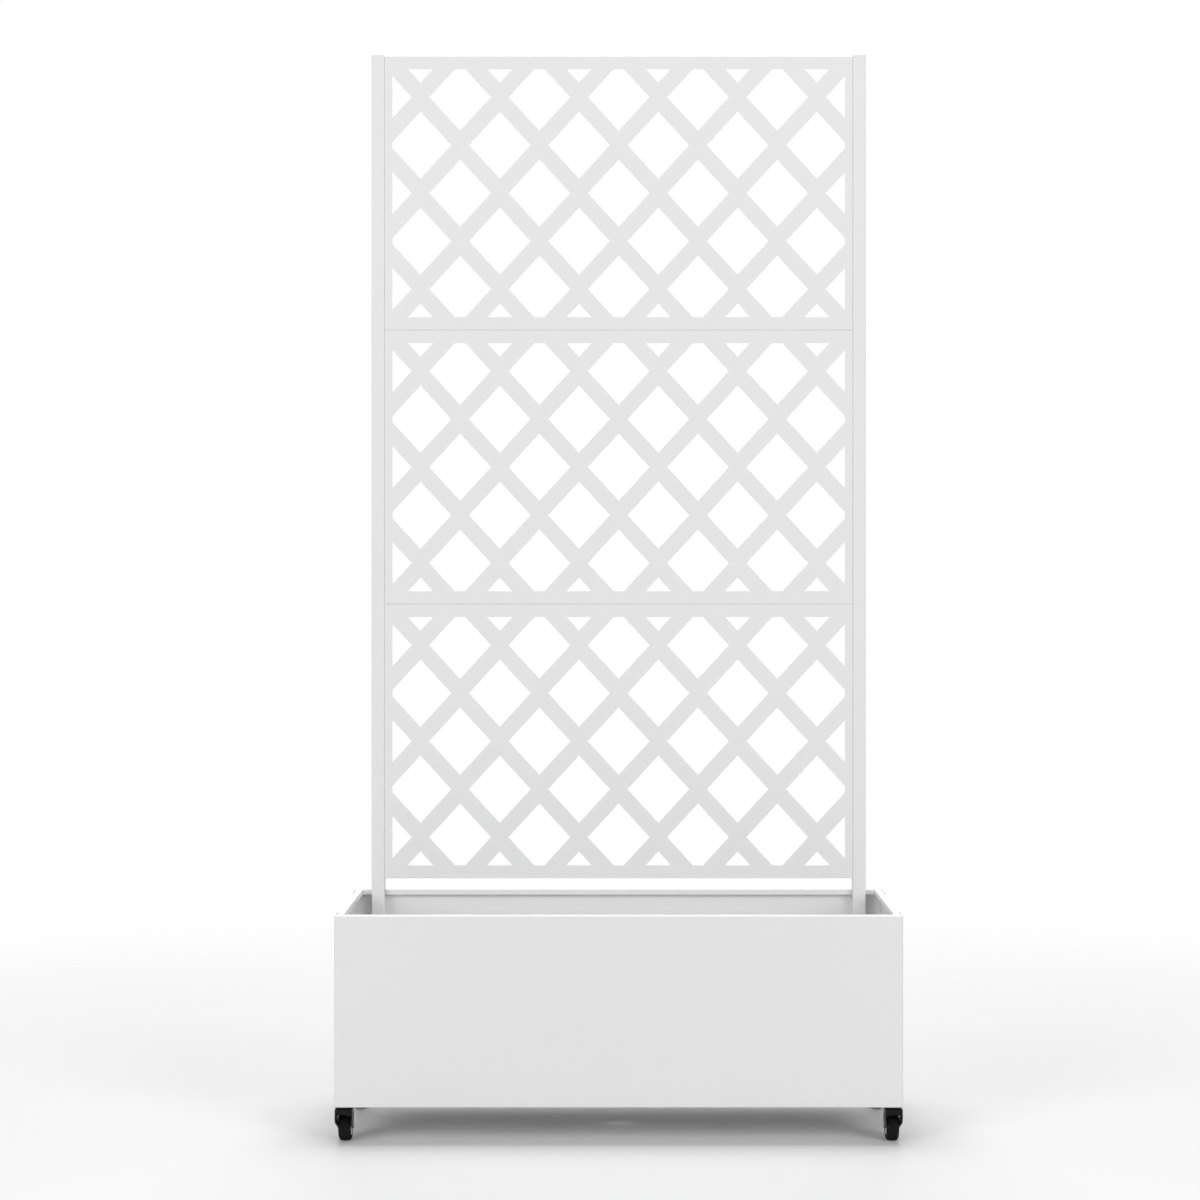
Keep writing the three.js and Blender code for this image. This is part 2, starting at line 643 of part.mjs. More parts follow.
// Screws through the folded corners, through the back wall into the posts, and from the lattice
// flanges into the posts.
function addScrews() {
  const head = screw();
  for (const [label, side] of [['left', -1], ['right', 1]]) {
    const outward = [0, side * QUARTER, 0];
    const inward = [0, -side * QUARTER, 0];
    for (const [end, sideY] of [['front', -1], ['back', 1]]) {
      CORNER_SCREW_HEIGHTS.forEach((height, index) => {
        const x = side * (BOX_WIDTH / 2 + SEAT);
        const y = sideY * (BOX_DEPTH / 2 - CORNER_LAP / 2);
        const at = [x, y, BOX_BOTTOM + height];
        const name = `${end}_${label}_corner_screw_${index + 1}`;
        place(planter, name, head, whiteCoat, at, outward);
      });
    }
    POST_SCREW_HEIGHTS.forEach((height, index) => {
      const at = [side * POST_X, BOX_DEPTH / 2 + SEAT, BOX_BOTTOM + height];
      place(planter, `${label}_post_screw_${index + 1}`, head, whiteCoat, at, [-QUARTER, 0, 0]);
    });
    panelScrewHeights().forEach((height, index) => {
      const x = side * (PANEL_WIDTH / 2 - PANEL_SHEET - SEAT);
      const at = [x, PANEL_FRONT + PANEL_FLANGE / 2, height];
      place(planter, `${label}_panel_screw_${index + 1}`, head, zincSteel, at, inward);
    });
  }
}

function addCaster(label, sideX, sideY) {
  const caster = new THREE.Group();
  caster.position.set(sideX * SWIVEL_X, sideY * SWIVEL_Y, 0);
  // The wheels trail towards the middle of the box.
  caster.rotation.z = sideY > 0 ? Math.PI : 0;
  planter.add(caster);
  const axle = [0, SWIVEL_TRAIL, AXLE_Z];
  const acrossX = [0, QUARTER, 0];
  // Half a facet of turn lays the tyre flat on the ground.
  const wheelTurn = [Math.PI / WHEEL_FACETS, QUARTER, 0];
  place(caster, `${label}_caster_stem`, casterStem(), blackSteel);
  place(caster, `${label}_caster_nut`, flangeNut(), zincSteel, [0, 0, NUT_BOTTOM]);
  place(caster, `${label}_caster_fork`, casterFork(), blackSteel);
  place(caster, `${label}_caster_axle`, casterAxle(), zincSteel, axle, acrossX);
  place(caster, `${label}_caster_hub`, casterHub(), hubPlastic, axle, wheelTurn);
  place(caster, `${label}_caster_tyre`, casterTyre(), tyreRubber, axle, wheelTurn);
}

addBox();
addTrellis();
addScrews();
addCaster('front_left', -1, -1);
addCaster('front_right', 1, -1);
addCaster('back_left', -1, 1);
addCaster('back_right', 1, 1);

export default planter;
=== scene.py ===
"""A white planter box on four swivel casters, with a diamond lattice trellis behind it.

Builds the finished look of the planter round its fixed frame. Lengths are metres, +Z is up and the
front looks along -Y. Every piece keeps its place in its own mesh and rides on a body of the frame.
"""

from __future__ import annotations

import json
import logging
import math
from dataclasses import dataclass
from enum import Enum
from typing import Any, Callable, Iterable, Sequence

import bmesh
import bpy
from mathutils import Matrix, Vector


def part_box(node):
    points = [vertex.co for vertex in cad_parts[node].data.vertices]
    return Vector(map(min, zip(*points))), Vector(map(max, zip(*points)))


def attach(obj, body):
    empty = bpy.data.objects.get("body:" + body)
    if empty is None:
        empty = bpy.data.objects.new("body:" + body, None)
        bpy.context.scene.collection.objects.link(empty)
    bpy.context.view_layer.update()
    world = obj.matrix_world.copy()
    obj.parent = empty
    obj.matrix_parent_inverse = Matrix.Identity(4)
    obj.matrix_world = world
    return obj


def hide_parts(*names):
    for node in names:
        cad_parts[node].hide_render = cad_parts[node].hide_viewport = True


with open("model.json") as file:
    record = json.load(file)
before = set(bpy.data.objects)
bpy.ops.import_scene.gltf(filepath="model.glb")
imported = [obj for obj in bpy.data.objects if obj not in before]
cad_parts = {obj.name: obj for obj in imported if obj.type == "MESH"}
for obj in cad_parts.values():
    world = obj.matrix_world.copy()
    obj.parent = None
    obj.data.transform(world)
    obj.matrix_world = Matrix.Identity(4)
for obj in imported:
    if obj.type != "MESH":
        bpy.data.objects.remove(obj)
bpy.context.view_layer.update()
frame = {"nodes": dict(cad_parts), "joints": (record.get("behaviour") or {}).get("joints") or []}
LOG = logging.getLogger("planter")
MM = 0.001
ROOT_BODY = "planter"
WHITE = (1.0, 1.0, 1.0, 1.0)

Point = tuple[float, float]
Place = tuple[float, float, float]
Colour = tuple[float, float, float]


# ---------------------------------------------------------------------------------------------
# Node trees
# ---------------------------------------------------------------------------------------------


class Signal:
    """A number that a socket carries. Its operators add Math nodes to the tree."""

    def __init__(self, board: "Board", socket: bpy.types.NodeSocket) -> None:
        """Wraps a socket.

        Args:
            board: the tree that the socket belongs to.
            socket: an output socket.
        """
        self.board = board
        self.socket = socket

    def math(self, operation: str, *values: Any) -> "Signal":
        """Adds one Math node.

        Args:
            operation: the node's operation.
            values: its inputs in order, as numbers or signals.

        Returns:
            The node's result.
        """
        inputs = dict(enumerate(values))
        return self.board.signal("ShaderNodeMath", {"operation": operation}, inputs)

    def __add__(self, other: Any) -> "Signal":
        """The sum."""
        return self.math("ADD", self, other)

    def __radd__(self, other: Any) -> "Signal":
        """The sum, from the other side."""
        return self.math("ADD", other, self)

    def __sub__(self, other: Any) -> "Signal":
        """The difference."""
        return self.math("SUBTRACT", self, other)

    def __rsub__(self, other: Any) -> "Signal":
        """The difference, from the other side."""
        return self.math("SUBTRACT", other, self)

    def __mul__(self, other: Any) -> "Signal":
        """The product."""
        return self.math("MULTIPLY", self, other)

    def __rmul__(self, other: Any) -> "Signal":
        """The product, from the other side."""
        return self.math("MULTIPLY", other, self)

    def __truediv__(self, other: Any) -> "Signal":
        """The quotient."""
        return self.math("DIVIDE", self, other)

    def __mod__(self, other: Any) -> "Signal":
        """The remainder, which is never negative."""
        return self.math("FLOORED_MODULO", self, other)

    def rounded(self) -> "Signal":
        """The nearest whole number."""
        return self.math("ROUND", self)

    def between(self, low: float, high: float) -> "Signal":
        """A smooth step from 0 at low to 1 at high.

        Args:
            low: the value that gives 0.
            high: the value that gives 1.

        Returns:
            The step.
        """
        settings = {"interpolation_type": "SMOOTHSTEP"}
        inputs = {"Value": self, "From Min": low, "From Max": high}
        return self.board.signal("ShaderNodeMapRange", settings, inputs)


class Board:
    """A node tree that grows by one method."""

    def __init__(self, tree: bpy.types.NodeTree) -> None:
        """Starts with an empty tree.

        Args:
            tree: the tree to fill.
        """
        self.tree = tree
        tree.nodes.clear()

    def node(self, kind: str, settings: dict[str, Any] | None = None,
             inputs: dict[str | int, Any] | None = None) -> bpy.types.Node:
        """Adds a node.

        Args:
            kind: the node's type name.
            settings: properties, which are set before the sockets are touched.
            inputs: values, signals or sockets for the inputs, by name, identifier or index.

        Returns:
            The node.
        """
        node = self.tree.nodes.new(kind)
        for name, value in (settings or {}).items():
            setattr(node, name, value)
        for key, value in (inputs or {}).items():
            socket = self.find(node.inputs, key)
            for item in value if isinstance(value, list) else [value]:
                if isinstance(item, Signal):
                    item = item.socket
                if isinstance(item, bpy.types.NodeSocket):
                    self.tree.links.new(item, socket)
                else:
                    socket.default_value = item
        return node

    @staticmethod
    def find(sockets: Any, key: str | int) -> bpy.types.NodeSocket:
        """Looks up a socket by index, identifier or name, in that order.

        Args:
            sockets: a node's inputs or outputs.
            key: what to look for.

        Returns:
            The socket.
        """
        if isinstance(key, int):
            return sockets[key]
        named = [s for s in sockets if s.identifier == key] or [s for s in sockets if s.name == key]
        return named[0]

    def signal(self, kind: str, settings: dict[str, Any] | None = None,
               inputs: dict[str | int, Any] | None = None, output: str | int = 0) -> Signal:
        """Adds a node and returns one of its outputs.

        Args:
            kind: the node's type name.
            settings: properties of the node.
            inputs: values or links of its inputs.
            output: which output to return.

        Returns:
            The output as a signal.
        """
        node = self.node(kind, settings, inputs)
        return Signal(self, self.find(node.outputs, output))


class ShaderBoard(Board):
    """The node tree of a surface, with the few patterns that the finishes share."""

    def __init__(self, name: str) -> None:
        """Makes a new material and empties its tree.

        Args:
            name: the material's name.
        """
        self.material = bpy.data.materials.new(name)
        self.material.use_nodes = True
        super().__init__(self.material.node_tree)
        self.place = self.signal("ShaderNodeTexCoord", output="Object")

    def noise(self, size: float, detail: float = 2.0, roughness: float = 0.5,
              stretch: Place | None = None) -> Signal:
        """Cloudy noise from 0 to 1.

        Args:
            size: how large a spot is.
            detail: how many finer layers it has.
            roughness: how strong the finer layers are.
            stretch: how many times longer the spots are along X, Y and Z, where they aren't round.

        Returns:
            The noise.
        """
        place = self.place
        if stretch is not None:
            scale = tuple(1.0 / s for s in stretch)
            place = self.signal("ShaderNodeMapping", inputs={"Vector": place, "Scale": scale})
        inputs = {"Vector": place, "Scale": 1.0 / size, "Detail": detail, "Roughness": roughness}
        return self.signal("ShaderNodeTexNoise", inputs=inputs)

    def facets(self, size: float) -> Signal:
        """Flat cells of random tone from 0 to 1.

        Args:
            size: how large a cell is.

        Returns:
            The tone of the cell.
        """
        inputs = {"Vector": self.place, "Scale": 1.0 / size}
        cells = self.signal("ShaderNodeTexVoronoi", inputs=inputs, output="Color")
        return self.signal("ShaderNodeSeparateColor", inputs={"Color": cells})

    def height(self) -> Signal:
        """How far up the surface lies, in metres."""
        return self.signal("ShaderNodeSeparateXYZ", inputs={"Vector": self.place}, output="Z")

    def facing_up(self) -> Signal:
        """1 where the surface looks up, 0 where it is upright and -1 where it looks down."""
        normal = self.signal("ShaderNodeNewGeometry", output="Normal")
        return self.signal("ShaderNodeSeparateXYZ", inputs={"Vector": normal}, output="Z")

    def edge(self, low: float, high: float) -> Signal:
        """1 on outer edges, 0 on flat and hollow places.

        Args:
            low: the pointiness that gives 0.
            high: the pointiness that gives 1.

        Returns:
            The mask.
        """
        return self.signal("ShaderNodeNewGeometry", output="Pointiness").between(low, high)

    def painted(self, name: str) -> Signal:
        """A number that the mesh carries at each corner.

        Args:
            name: the attribute's name.

        Returns:
            The attribute.
        """
        return self.signal("ShaderNodeAttribute", {"attribute_name": name}, output="Fac")

    def blend(self, first: Any, second: Any, factor: Any) -> Signal:
        """Mixes two colours.

        Args:
            first: the colour at factor 0.
            second: the colour at factor 1.
            factor: the share of the second.

        Returns:
            The mixed colour.
        """
        colours = [(*c, 1.0) if isinstance(c, tuple) else c for c in (first, second)]
        inputs = {"Factor_Float": factor, "A_Color": colours[0], "B_Color": colours[1]}
        return self.signal("ShaderNodeMix", {"data_type": "RGBA"}, inputs, "Result_Color")

    def bump(self, height: Signal, depth: float) -> Signal:
        """Turns a height into a normal.

        Args:
            height: the height from 0 to 1.
            depth: how high 1 is, in metres.

        Returns:
            The normal.
        """
        return self.signal("ShaderNodeBump", inputs={"Height": height, "Distance": depth})

    def surface(self, **sockets: Any) -> bpy.types.Material:
        """Ends the tree in a Principled BSDF.

        Args:
            sockets: its inputs by name, with _ for a blank.

        Returns:
            The finished material.
        """
        inputs = {name.replace("_", " "): value for name, value in sockets.items()}
        shader = self.signal("ShaderNodeBsdfPrincipled", inputs=inputs)
        self.node("ShaderNodeOutputMaterial", inputs={"Surface": shader})
        return self.material


class SocketKind(Enum):
    """The kinds of value that a geometry tree takes."""

    GEOMETRY = "NodeSocketGeometry"
    LENGTH = "NodeSocketFloat"
    COUNT = "NodeSocketInt"
    VECTOR = "NodeSocketVector"
    MATERIAL = "NodeSocketMaterial"
    OBJECT = "NodeSocketObject"


class GeometryBoard(Board):
    """A geometry node tree with named inputs, which is run once on an object."""

    def __init__(self, name: str) -> None:
        """Makes a tree with a geometry input and output.

        Args:
            name: the tree's name.
        """
        super().__init__(bpy.data.node_groups.new(name, "GeometryNodeTree"))
        self.values: dict[str, Any] = {}
        interface = self.tree.interface
        interface.new_socket("Geometry", in_out="INPUT", socket_type=SocketKind.GEOMETRY.value)
        interface.new_socket("Geometry", in_out="OUTPUT", socket_type=SocketKind.GEOMETRY.value)
        self.given = self.tree.nodes.new("NodeGroupInput")

    def input(self, name: str, kind: SocketKind, value: Any) -> Signal:
        """Adds a named input.

        Args:
            name: what the input is called.
            kind: the kind of value.
            value: the value that the modifier gives it.

        Returns:
            The input inside the tree.
        """
        item = self.tree.interface.new_socket(name, in_out="INPUT", socket_type=kind.value)
        self.values[item.identifier] = value
        return Signal(self, self.find(self.given.outputs, item.identifier))

    def geometry(self) -> Signal:
        """The geometry that the object brings."""
        return Signal(self, self.given.outputs[0])

    def joined(self, operation: str, first: Signal | None, others: list[Signal]) -> Signal:
        """Adds or takes away closed meshes.

        Args:
            operation: UNION, DIFFERENCE or INTERSECT.
            first: the mesh that is cut, or None where all are alike.
            others: the other meshes.

        Returns:
            The result.
        """
        inputs: dict[str | int, Any] = {"Mesh 2": others}
        if operation == "DIFFERENCE":
            inputs["Mesh 1"] = first
        settings = {"operation": operation, "solver": "EXACT"}
        return self.signal("GeometryNodeMeshBoolean", settings, inputs, "Mesh")

    def moved(self, geometry: Signal, place: Any = (0, 0, 0), turn: Any = (0, 0, 0)) -> Signal:
        """Places geometry.

        Args:
            geometry: what is moved.
            place: the translation.
            turn: the rotation about X, Y and Z.

        Returns:
            The moved geometry.
        """
        inputs = {"Geometry": geometry, "Translation": place, "Rotation": turn}
        return self.signal("GeometryNodeTransform", inputs=inputs)

    def vector(self, x: Any = 0.0, y: Any = 0.0, z: Any = 0.0) -> Signal:
        """A vector from three numbers or signals."""
        return self.signal("ShaderNodeCombineXYZ", inputs={"X": x, "Y": y, "Z": z})

    def run(self, target: bpy.types.Object, result: Signal, material: Signal) -> None:
        """Ends the tree, runs it on an object and keeps the result as its plain mesh.

        Args:
            target: the object whose mesh is the tree's input.
            result: the geometry to keep.
            material: the finish of the geometry.
        """
        real = self.signal("GeometryNodeRealizeInstances", inputs={"Geometry": result})
        inputs = {"Geometry": real, "Material": material}
        dressed = self.signal("GeometryNodeSetMaterial", inputs=inputs)
        self.node("NodeGroupOutput", inputs={0: dressed})
        modifier = target.modifiers.new(self.tree.name, "NODES")
        modifier.node_group = self.tree
        for identifier, value in self.values.items():
            modifier[identifier] = value
        settle(target)


# ---------------------------------------------------------------------------------------------
# Finishes
# ---------------------------------------------------------------------------------------------


def shade(colour: Colour, factor: float) -> Colour:
    """A colour made lighter or darker.

    Args:
        colour: the colour.
        factor: what each channel is multiplied by.

    Returns:
        The new colour, no lighter than white.
    """
    return tuple(min(1.0, c * factor) for c in colour)


@dataclass(frozen=True)
class PowderCoat:
    """Matt powder coat on sheet steel: orange peel, a faint cloudiness, a little dust on upward
    faces and painted shade towards the bottom of the walls.
    """

    colour: Colour = (0.80, 0.80, 0.80)
    # the dust colour, which also paints the shade near the bottom of the walls
    dust: Colour = (0.60, 0.58, 0.54)
    roughness: float = 0.46
    peel_size: float = 1.6 * MM
    peel_depth: float = 0.045 * MM
    # top of the band of painted shade near the bottom, and the share of dust and painted shade in
    # the colour
    shade_band_top: float = 95 * MM
    dust_and_shade_share: float = 0.10

    def material(self, name: str) -> bpy.types.Material:
        """Builds the finish.

        Args:
            name: the material's name.

        Returns:
            The material.
        """
        board = ShaderBoard(name)
        clouds = board.noise(220 * MM, 3.0)
        grain = board.noise(3.2 * MM, 2.0)
        colour = board.blend(shade(self.colour, 0.985), shade(self.colour, 1.015), clouds)
        colour = board.blend(colour, shade(self.colour, 0.965), grain.between(0.58, 0.80))
        specks = board.noise(7 * MM, 4.0, 0.65)
        lying = board.facing_up().between(0.55, 0.95)
        # Painted shade: the walls darken towards the bottom, near the floor; on upward faces the
        # same colour is dust.
        low = 1.0 - board.height().between(58 * MM, self.shade_band_top)
        dust = (lying * 0.8 + low * 0.5) * specks.between(0.42, 0.68) * self.dust_and_shade_share
        colour = board.blend(colour, self.dust, dust)
        patches = board.noise(60 * MM, 3.0)
        sheen = self.roughness + (patches - 0.5) * 0.14 + (grain - 0.5) * 0.10 + dust
        peel = board.noise(self.peel_size, 2.0, 0.6) + board.noise(self.peel_size * 5, 1.0) * 1.4
        return board.surface(Base_Color=colour, Roughness=sheen, Specular_IOR_Level=0.4,
                             Normal=board.bump(peel, self.peel_depth))


@dataclass(frozen=True)
class MouldedPlastic:
    """Injection-moulded plastic with a fine spark-eroded grain."""

    colour: Colour
    roughness: float = 0.5
    grain_size: float = 0.55 * MM
    grain_depth: float = 0.02 * MM
    flow: float = 0.05

    def material(self, name: str) -> bpy.types.Material:
        """Builds the finish.

        Args:
            name: the material's name.

        Returns:
            The material.
        """
        board = ShaderBoard(name)
        flow = board.noise(9 * MM, 3.0, 0.55, (1, 1, 2.5))
        grain = board.noise(self.grain_size, 3.0, 0.6)
        dark, light = shade(self.colour, 1 - self.flow), shade(self.colour, 1 + self.flow)
        colour = board.blend(dark, light, flow)
        rub = board.edge(0.52, 0.60) * board.noise(2.5 * MM, 3.0)
        colour = board.blend(colour, shade(self.colour, 1.18), rub * 0.5)
        sheen = self.roughness + (grain - 0.5) * 0.16 - rub * 0.12
        return board.surface(Base_Color=colour, Roughness=sheen, Specular_IOR_Level=0.4,
                             Normal=board.bump(grain, self.grain_depth))


@dataclass(frozen=True)
class BlackSteel:
    """Pressed steel with a smooth black coat that is rubbed at its edges."""

    colour: Colour = (0.0055, 0.0055, 0.006)
    rubbed: Colour = (0.040, 0.040, 0.042)
    dust: Colour = (0.045, 0.043, 0.040)
    roughness: float = 0.27

    def material(self, name: str) -> bpy.types.Material:
        """Builds the finish.

        Args:
            name: the material's name.

        Returns:
            The material.
        """
        board = ShaderBoard(name)
        patches = board.noise(7 * MM, 4.0, 0.6)
        grain = board.noise(0.8 * MM, 2.0)
        colour = board.blend(shade(self.colour, 0.8), shade(self.colour, 1.4), patches)
        worn = board.edge(0.51, 0.58) * board.noise(1.8 * MM, 3.0, 0.65).between(0.42, 0.66)
        colour = board.blend(colour, self.rubbed, worn * 0.6)
        lying = board.facing_up().between(0.3, 0.9) * patches.between(0.45, 0.62)
        colour = board.blend(colour, self.dust, lying * 0.4)
        sheen = self.roughness + (patches - 0.5) * 0.12 + lying * 0.3 + worn * 0.1
        height = grain + board.noise(3.5 * MM, 2.0) * 1.5
        return board.surface(Base_Color=colour, Roughness=sheen, Specular_IOR_Level=0.12,
                             Normal=board.bump(height, 0.012 * MM))


@dataclass(frozen=True)
class TyreRubber:
    """Black moulded rubber whose running face is scuffed and picks up dust."""

    colour: Colour = (0.0065, 0.0065, 0.0068)
    scuffed: Colour = (0.020, 0.0195, 0.019)
    roughness: float = 0.74

    def material(self, name: str) -> bpy.types.Material:
        """Builds the finish.

        Args:
            name: the material's name.

        Returns:
            The material.
        """
        board = ShaderBoard(name)
        tread = board.painted("tread")
        grain = board.noise(0.6 * MM, 3.0, 0.6)
        scuffs = board.noise(3.5 * MM, 5.0, 0.7).between(0.42, 0.70)
        colour = board.blend(self.colour, shade(self.colour, 1.7), board.noise(14 * MM, 2.0))
        colour = board.blend(colour, self.scuffed, tread * scuffs * 0.75)
        sheen = self.roughness + tread * 0.12 + (grain - 0.5) * 0.16
        height = grain + tread * scuffs * 1.2
        return board.surface(Base_Color=colour, Roughness=sheen, Specular_IOR_Level=0.12,
                             Normal=board.bump(height, 0.05 * MM))


@dataclass(frozen=True)
class ZincPlate:
    """Bright zinc plate with a faint crystal pattern and a thin blue-yellow film."""

    colour: Colour = (0.60, 0.61, 0.63)
    film: Colour = (0.62, 0.58, 0.47)
    roughness: float = 0.34

    def material(self, name: str) -> bpy.types.Material:
        """Builds the finish.

        Args:
            name: the material's name.

        Returns:
            The material.
        """
        board = ShaderBoard(name)
        crystals = board.facets(0.9 * MM)
        patches = board.noise(5 * MM, 3.0, 0.6)
        colour = board.blend(shade(self.colour, 0.86), shade(self.colour, 1.08), crystals)
        colour = board.blend(colour, self.film, patches.between(0.48, 0.72) * 0.45)
        sheen = self.roughness + (patches - 0.5) * 0.2 + (crystals - 0.5) * 0.08
        height = board.noise(0.35 * MM, 2.0) + crystals * 0.4
        return board.surface(Base_Color=colour, Roughness=sheen, Metallic=0.92,
                             Normal=board.bump(height, 0.012 * MM))


class Slot(Enum):
    """The planter's finishes, by the names that its record gives them."""

    WHITE_COAT = "white_coat"
    WHITE_PLASTIC = "white_plastic"
    BLACK_STEEL = "black_steel"
    TYRE_RUBBER = "tyre_rubber"
    HUB_PLASTIC = "hub_plastic"
    ZINC_STEEL = "zinc_steel"


class Palette:
    """One material for each finish."""

    def __init__(self) -> None:
        """Builds all the materials."""
        finishes = {
            Slot.WHITE_COAT: PowderCoat(),
            Slot.WHITE_PLASTIC: MouldedPlastic((0.82, 0.82, 0.815), 0.42),
            Slot.BLACK_STEEL: BlackSteel(),
            Slot.TYRE_RUBBER: TyreRubber(),
            Slot.HUB_PLASTIC: MouldedPlastic((0.60, 0.605, 0.61), 0.44, flow=0.06),
            Slot.ZINC_STEEL: ZincPlate(),
        }
        self.materials = {slot: finish.material(slot.value) for slot, finish in finishes.items()}

    def dress(self, piece: bpy.types.Object, slot: Slot, body: str, nodes: Sequence[str]) -> None:
        """Gives a piece its finish and its place in the frame.

        Args:
            piece: the piece.
            slot: its finish.
            body: the body that it moves with.
            nodes: the frame's nodes that it stands for.
        """
        piece.data.materials.clear()
        piece.data.materials.append(self.materials[slot])
        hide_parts(*nodes)
        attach(piece, body)
        LOG.info("%s: %d faces, rides on %s", piece.name, len(piece.data.polygons), body)


# ---------------------------------------------------------------------------------------------
# Meshes
# ---------------------------------------------------------------------------------------------


def new_object(name: str, bm: bmesh.types.BMesh) -> bpy.types.Object:
    """Puts a mesh into the scene as an object at the origin.

    Args:
        name: the object's name.
        bm: the mesh, which is freed.

    Returns:
        The object.
    """
    mesh = bpy.data.meshes.new(name)
    bm.to_mesh(mesh)
    bm.free()
    piece = bpy.data.objects.new(name, mesh)
    bpy.context.scene.collection.objects.link(piece)
    return piece


def settle(piece: bpy.types.Object) -> None:
    """Makes what the modifiers show into the object's plain mesh and removes them."""
    graph = bpy.context.evaluated_depsgraph_get()
    graph.update()
    mesh = bpy.data.meshes.new_from_object(piece.evaluated_get(graph))
    piece.modifiers.clear()
    piece.data = mesh
    mesh.name = piece.name


def weld(piece: bpy.types.Object, reach: float = 0.003 * MM) -> None:
    """Merges corners that lie on each other, so that no face is without area.

    Args:
        piece: the object.
        reach: how far apart the corners may lie.
    """
    bm = bmesh.new()
    bm.from_mesh(piece.data)
    bmesh.ops.remove_doubles(bm, verts=bm.verts, dist=reach)
    bmesh.ops.dissolve_degenerate(bm, edges=bm.edges, dist=reach)
    bm.to_mesh(piece.data)
    bm.free()


def soften(piece: bpy.types.Object, width: float, segments: int = 2, angle: float = 38.0) -> None:
    """Rounds the sharp edges a little and keeps the large faces flat in the light.

    Args:
        piece: the object, which ends with a plain mesh.
        width: the width of the rounding.
        segments: the facets over one rounding.
        angle: edges steeper than this, in degrees, are rounded and the others smoothed.
    """
    weld(piece)
    bevel = piece.modifiers.new("soft_edges", "BEVEL")
    bevel.width = width
    bevel.segments = segments
    bevel.limit_method = "ANGLE"
    bevel.angle_limit = math.radians(angle)
    settle(piece)
    weld(piece)
    smooth(piece, angle + 14)


def smooth(piece: bpy.types.Object, angle: float) -> None:
    """Smooths the shading over shallow edges, with most weight on the large faces.

    Args:
        piece: the object, which ends with a plain mesh.
        angle: edges steeper than this, in degrees, stay sharp.
    """
    for polygon in piece.data.polygons:
        polygon.use_smooth = True
    piece.data.set_sharp_from_angle(angle=math.radians(angle))
    weighted = piece.modifiers.new("flat_faces", "WEIGHTED_NORMAL")
    weighted.keep_sharp = True
    weighted.weight = 100
    settle(piece)


def frame_copy(node: str, name: str) -> bpy.types.Object:
    """A piece with the shape of one of the frame's nodes, merged and with whole flat faces.

    Args:
        node: the node.
        name: the piece's name.

    Returns:
        The piece.
    """
    bm = bmesh.new()
    bm.from_mesh(frame["nodes"][node].data)
    bmesh.ops.remove_doubles(bm, verts=bm.verts, dist=0.002 * MM)
    flat = math.radians(0.6)
    bmesh.ops.dissolve_limit(bm, angle_limit=flat, verts=bm.verts, edges=bm.edges)
    return new_object(name, bm)


def lathe(profile: Sequence[Point], segments: int) -> bmesh.types.BMesh:
    """Turns a profile about Z.

    Args:
        profile: (radius, height) points. They close on themselves or start and end on the axis.
        segments: the facets of a full turn.

    Returns:
        A closed mesh with its faces outwards.
    """
    bm = bmesh.new()
    points = [bm.verts.new((radius, 0.0, height)) for radius, height in profile]
    closed = profile[0][0] > 0
    pairs = list(zip(points, points[1:])) + ([(points[-1], points[0])] if closed else [])
    edges = [bm.edges.new(pair) for pair in pairs]
    bmesh.ops.spin(bm, geom=points + edges, axis=(0, 0, 1), cent=(0, 0, 0),
                   angle=math.tau, steps=segments, use_merge=True)
    bmesh.ops.remove_doubles(bm, verts=bm.verts, dist=0.001 * MM)
    bmesh.ops.recalc_face_normals(bm, faces=bm.faces)
    return bm


def prism(outline: Sequence[Point], low: float, high: float, axes: str) -> bmesh.types.BMesh:
    """Carries an outline along an axis.

    Args:
        outline: the outline's points.
        low: where the prism starts.
        high: where it ends.
        axes: the axes of the outline's two numbers and of the prism's length, such as "yzx".

    Returns:
        A closed mesh with its faces outwards.
    """
    bm = bmesh.new()
    order = ["xyz".index(axis) for axis in axes]

    def corner(point: Point, length: float) -> bmesh.types.BMVert:
        """Adds one corner of the prism."""
        place = [0.0, 0.0, 0.0]
        for axis, value in zip(order, (*point, length)):
            place[axis] = value
        return bm.verts.new(place)

    rings = [[corner(point, length) for point in outline] for length in (low, high)]
    for ring in rings:
        bm.faces.new(ring)
    count = len(outline)
    for i in range(count):
        j = (i + 1) % count
        bm.faces.new((rings[0][i], rings[0][j], rings[1][j], rings[1][i]))
    bmesh.ops.recalc_face_normals(bm, faces=bm.faces)
    return bm


def arc(centre: Point, radius: float, start: float, end: float, steps: int = 8) -> list[Point]:
    """Points along an arc.

    Args:
        centre: the arc's centre.
        radius: its radius.
        start: where it starts, in degrees.
        end: where it ends, in degrees.
        steps: how many facets it has.

    Returns:
        The points, both ends included.
    """
    angles = [math.radians(start + (end - start) * i / steps) for i in range(steps + 1)]
    return [(centre[0] + radius * math.cos(a), centre[1] + radius * math.sin(a)) for a in angles]


def curve(start: Point, handle: Point, end: Point, steps: int = 12) -> list[Point]:
    """Points along a curve with one handle.

    Args:
        start: the first point.
        handle: the point that the curve bends towards.
        end: the last point.
        steps: how many facets it has.

    Returns:
        The points, both ends included.
    """
    points = []
    for i in range(steps + 1):
        t = i / steps
        pulls = list(zip(((1 - t) ** 2, 2 * t * (1 - t), t * t), (start, handle, end)))
        points.append(tuple(sum(share * point[k] for share, point in pulls) for k in (0, 1)))
    return points


def combine(piece: bpy.types.Object, operation: str, others: Iterable[bmesh.types.BMesh]) -> None:
    """Joins, cuts or intersects an object with other closed meshes, one after the other.

    Args:
        piece: the object, which ends with a plain mesh.
        operation: UNION, DIFFERENCE or INTERSECT.
        others: the other meshes, which are freed.
    """
    for bm in others:
        tool = new_object("tool", bm)
        modifier = piece.modifiers.new("combine", "BOOLEAN")
        modifier.operation = operation
        modifier.solver = "EXACT"
        modifier.object = tool
        settle(piece)
        bpy.data.objects.remove(tool)


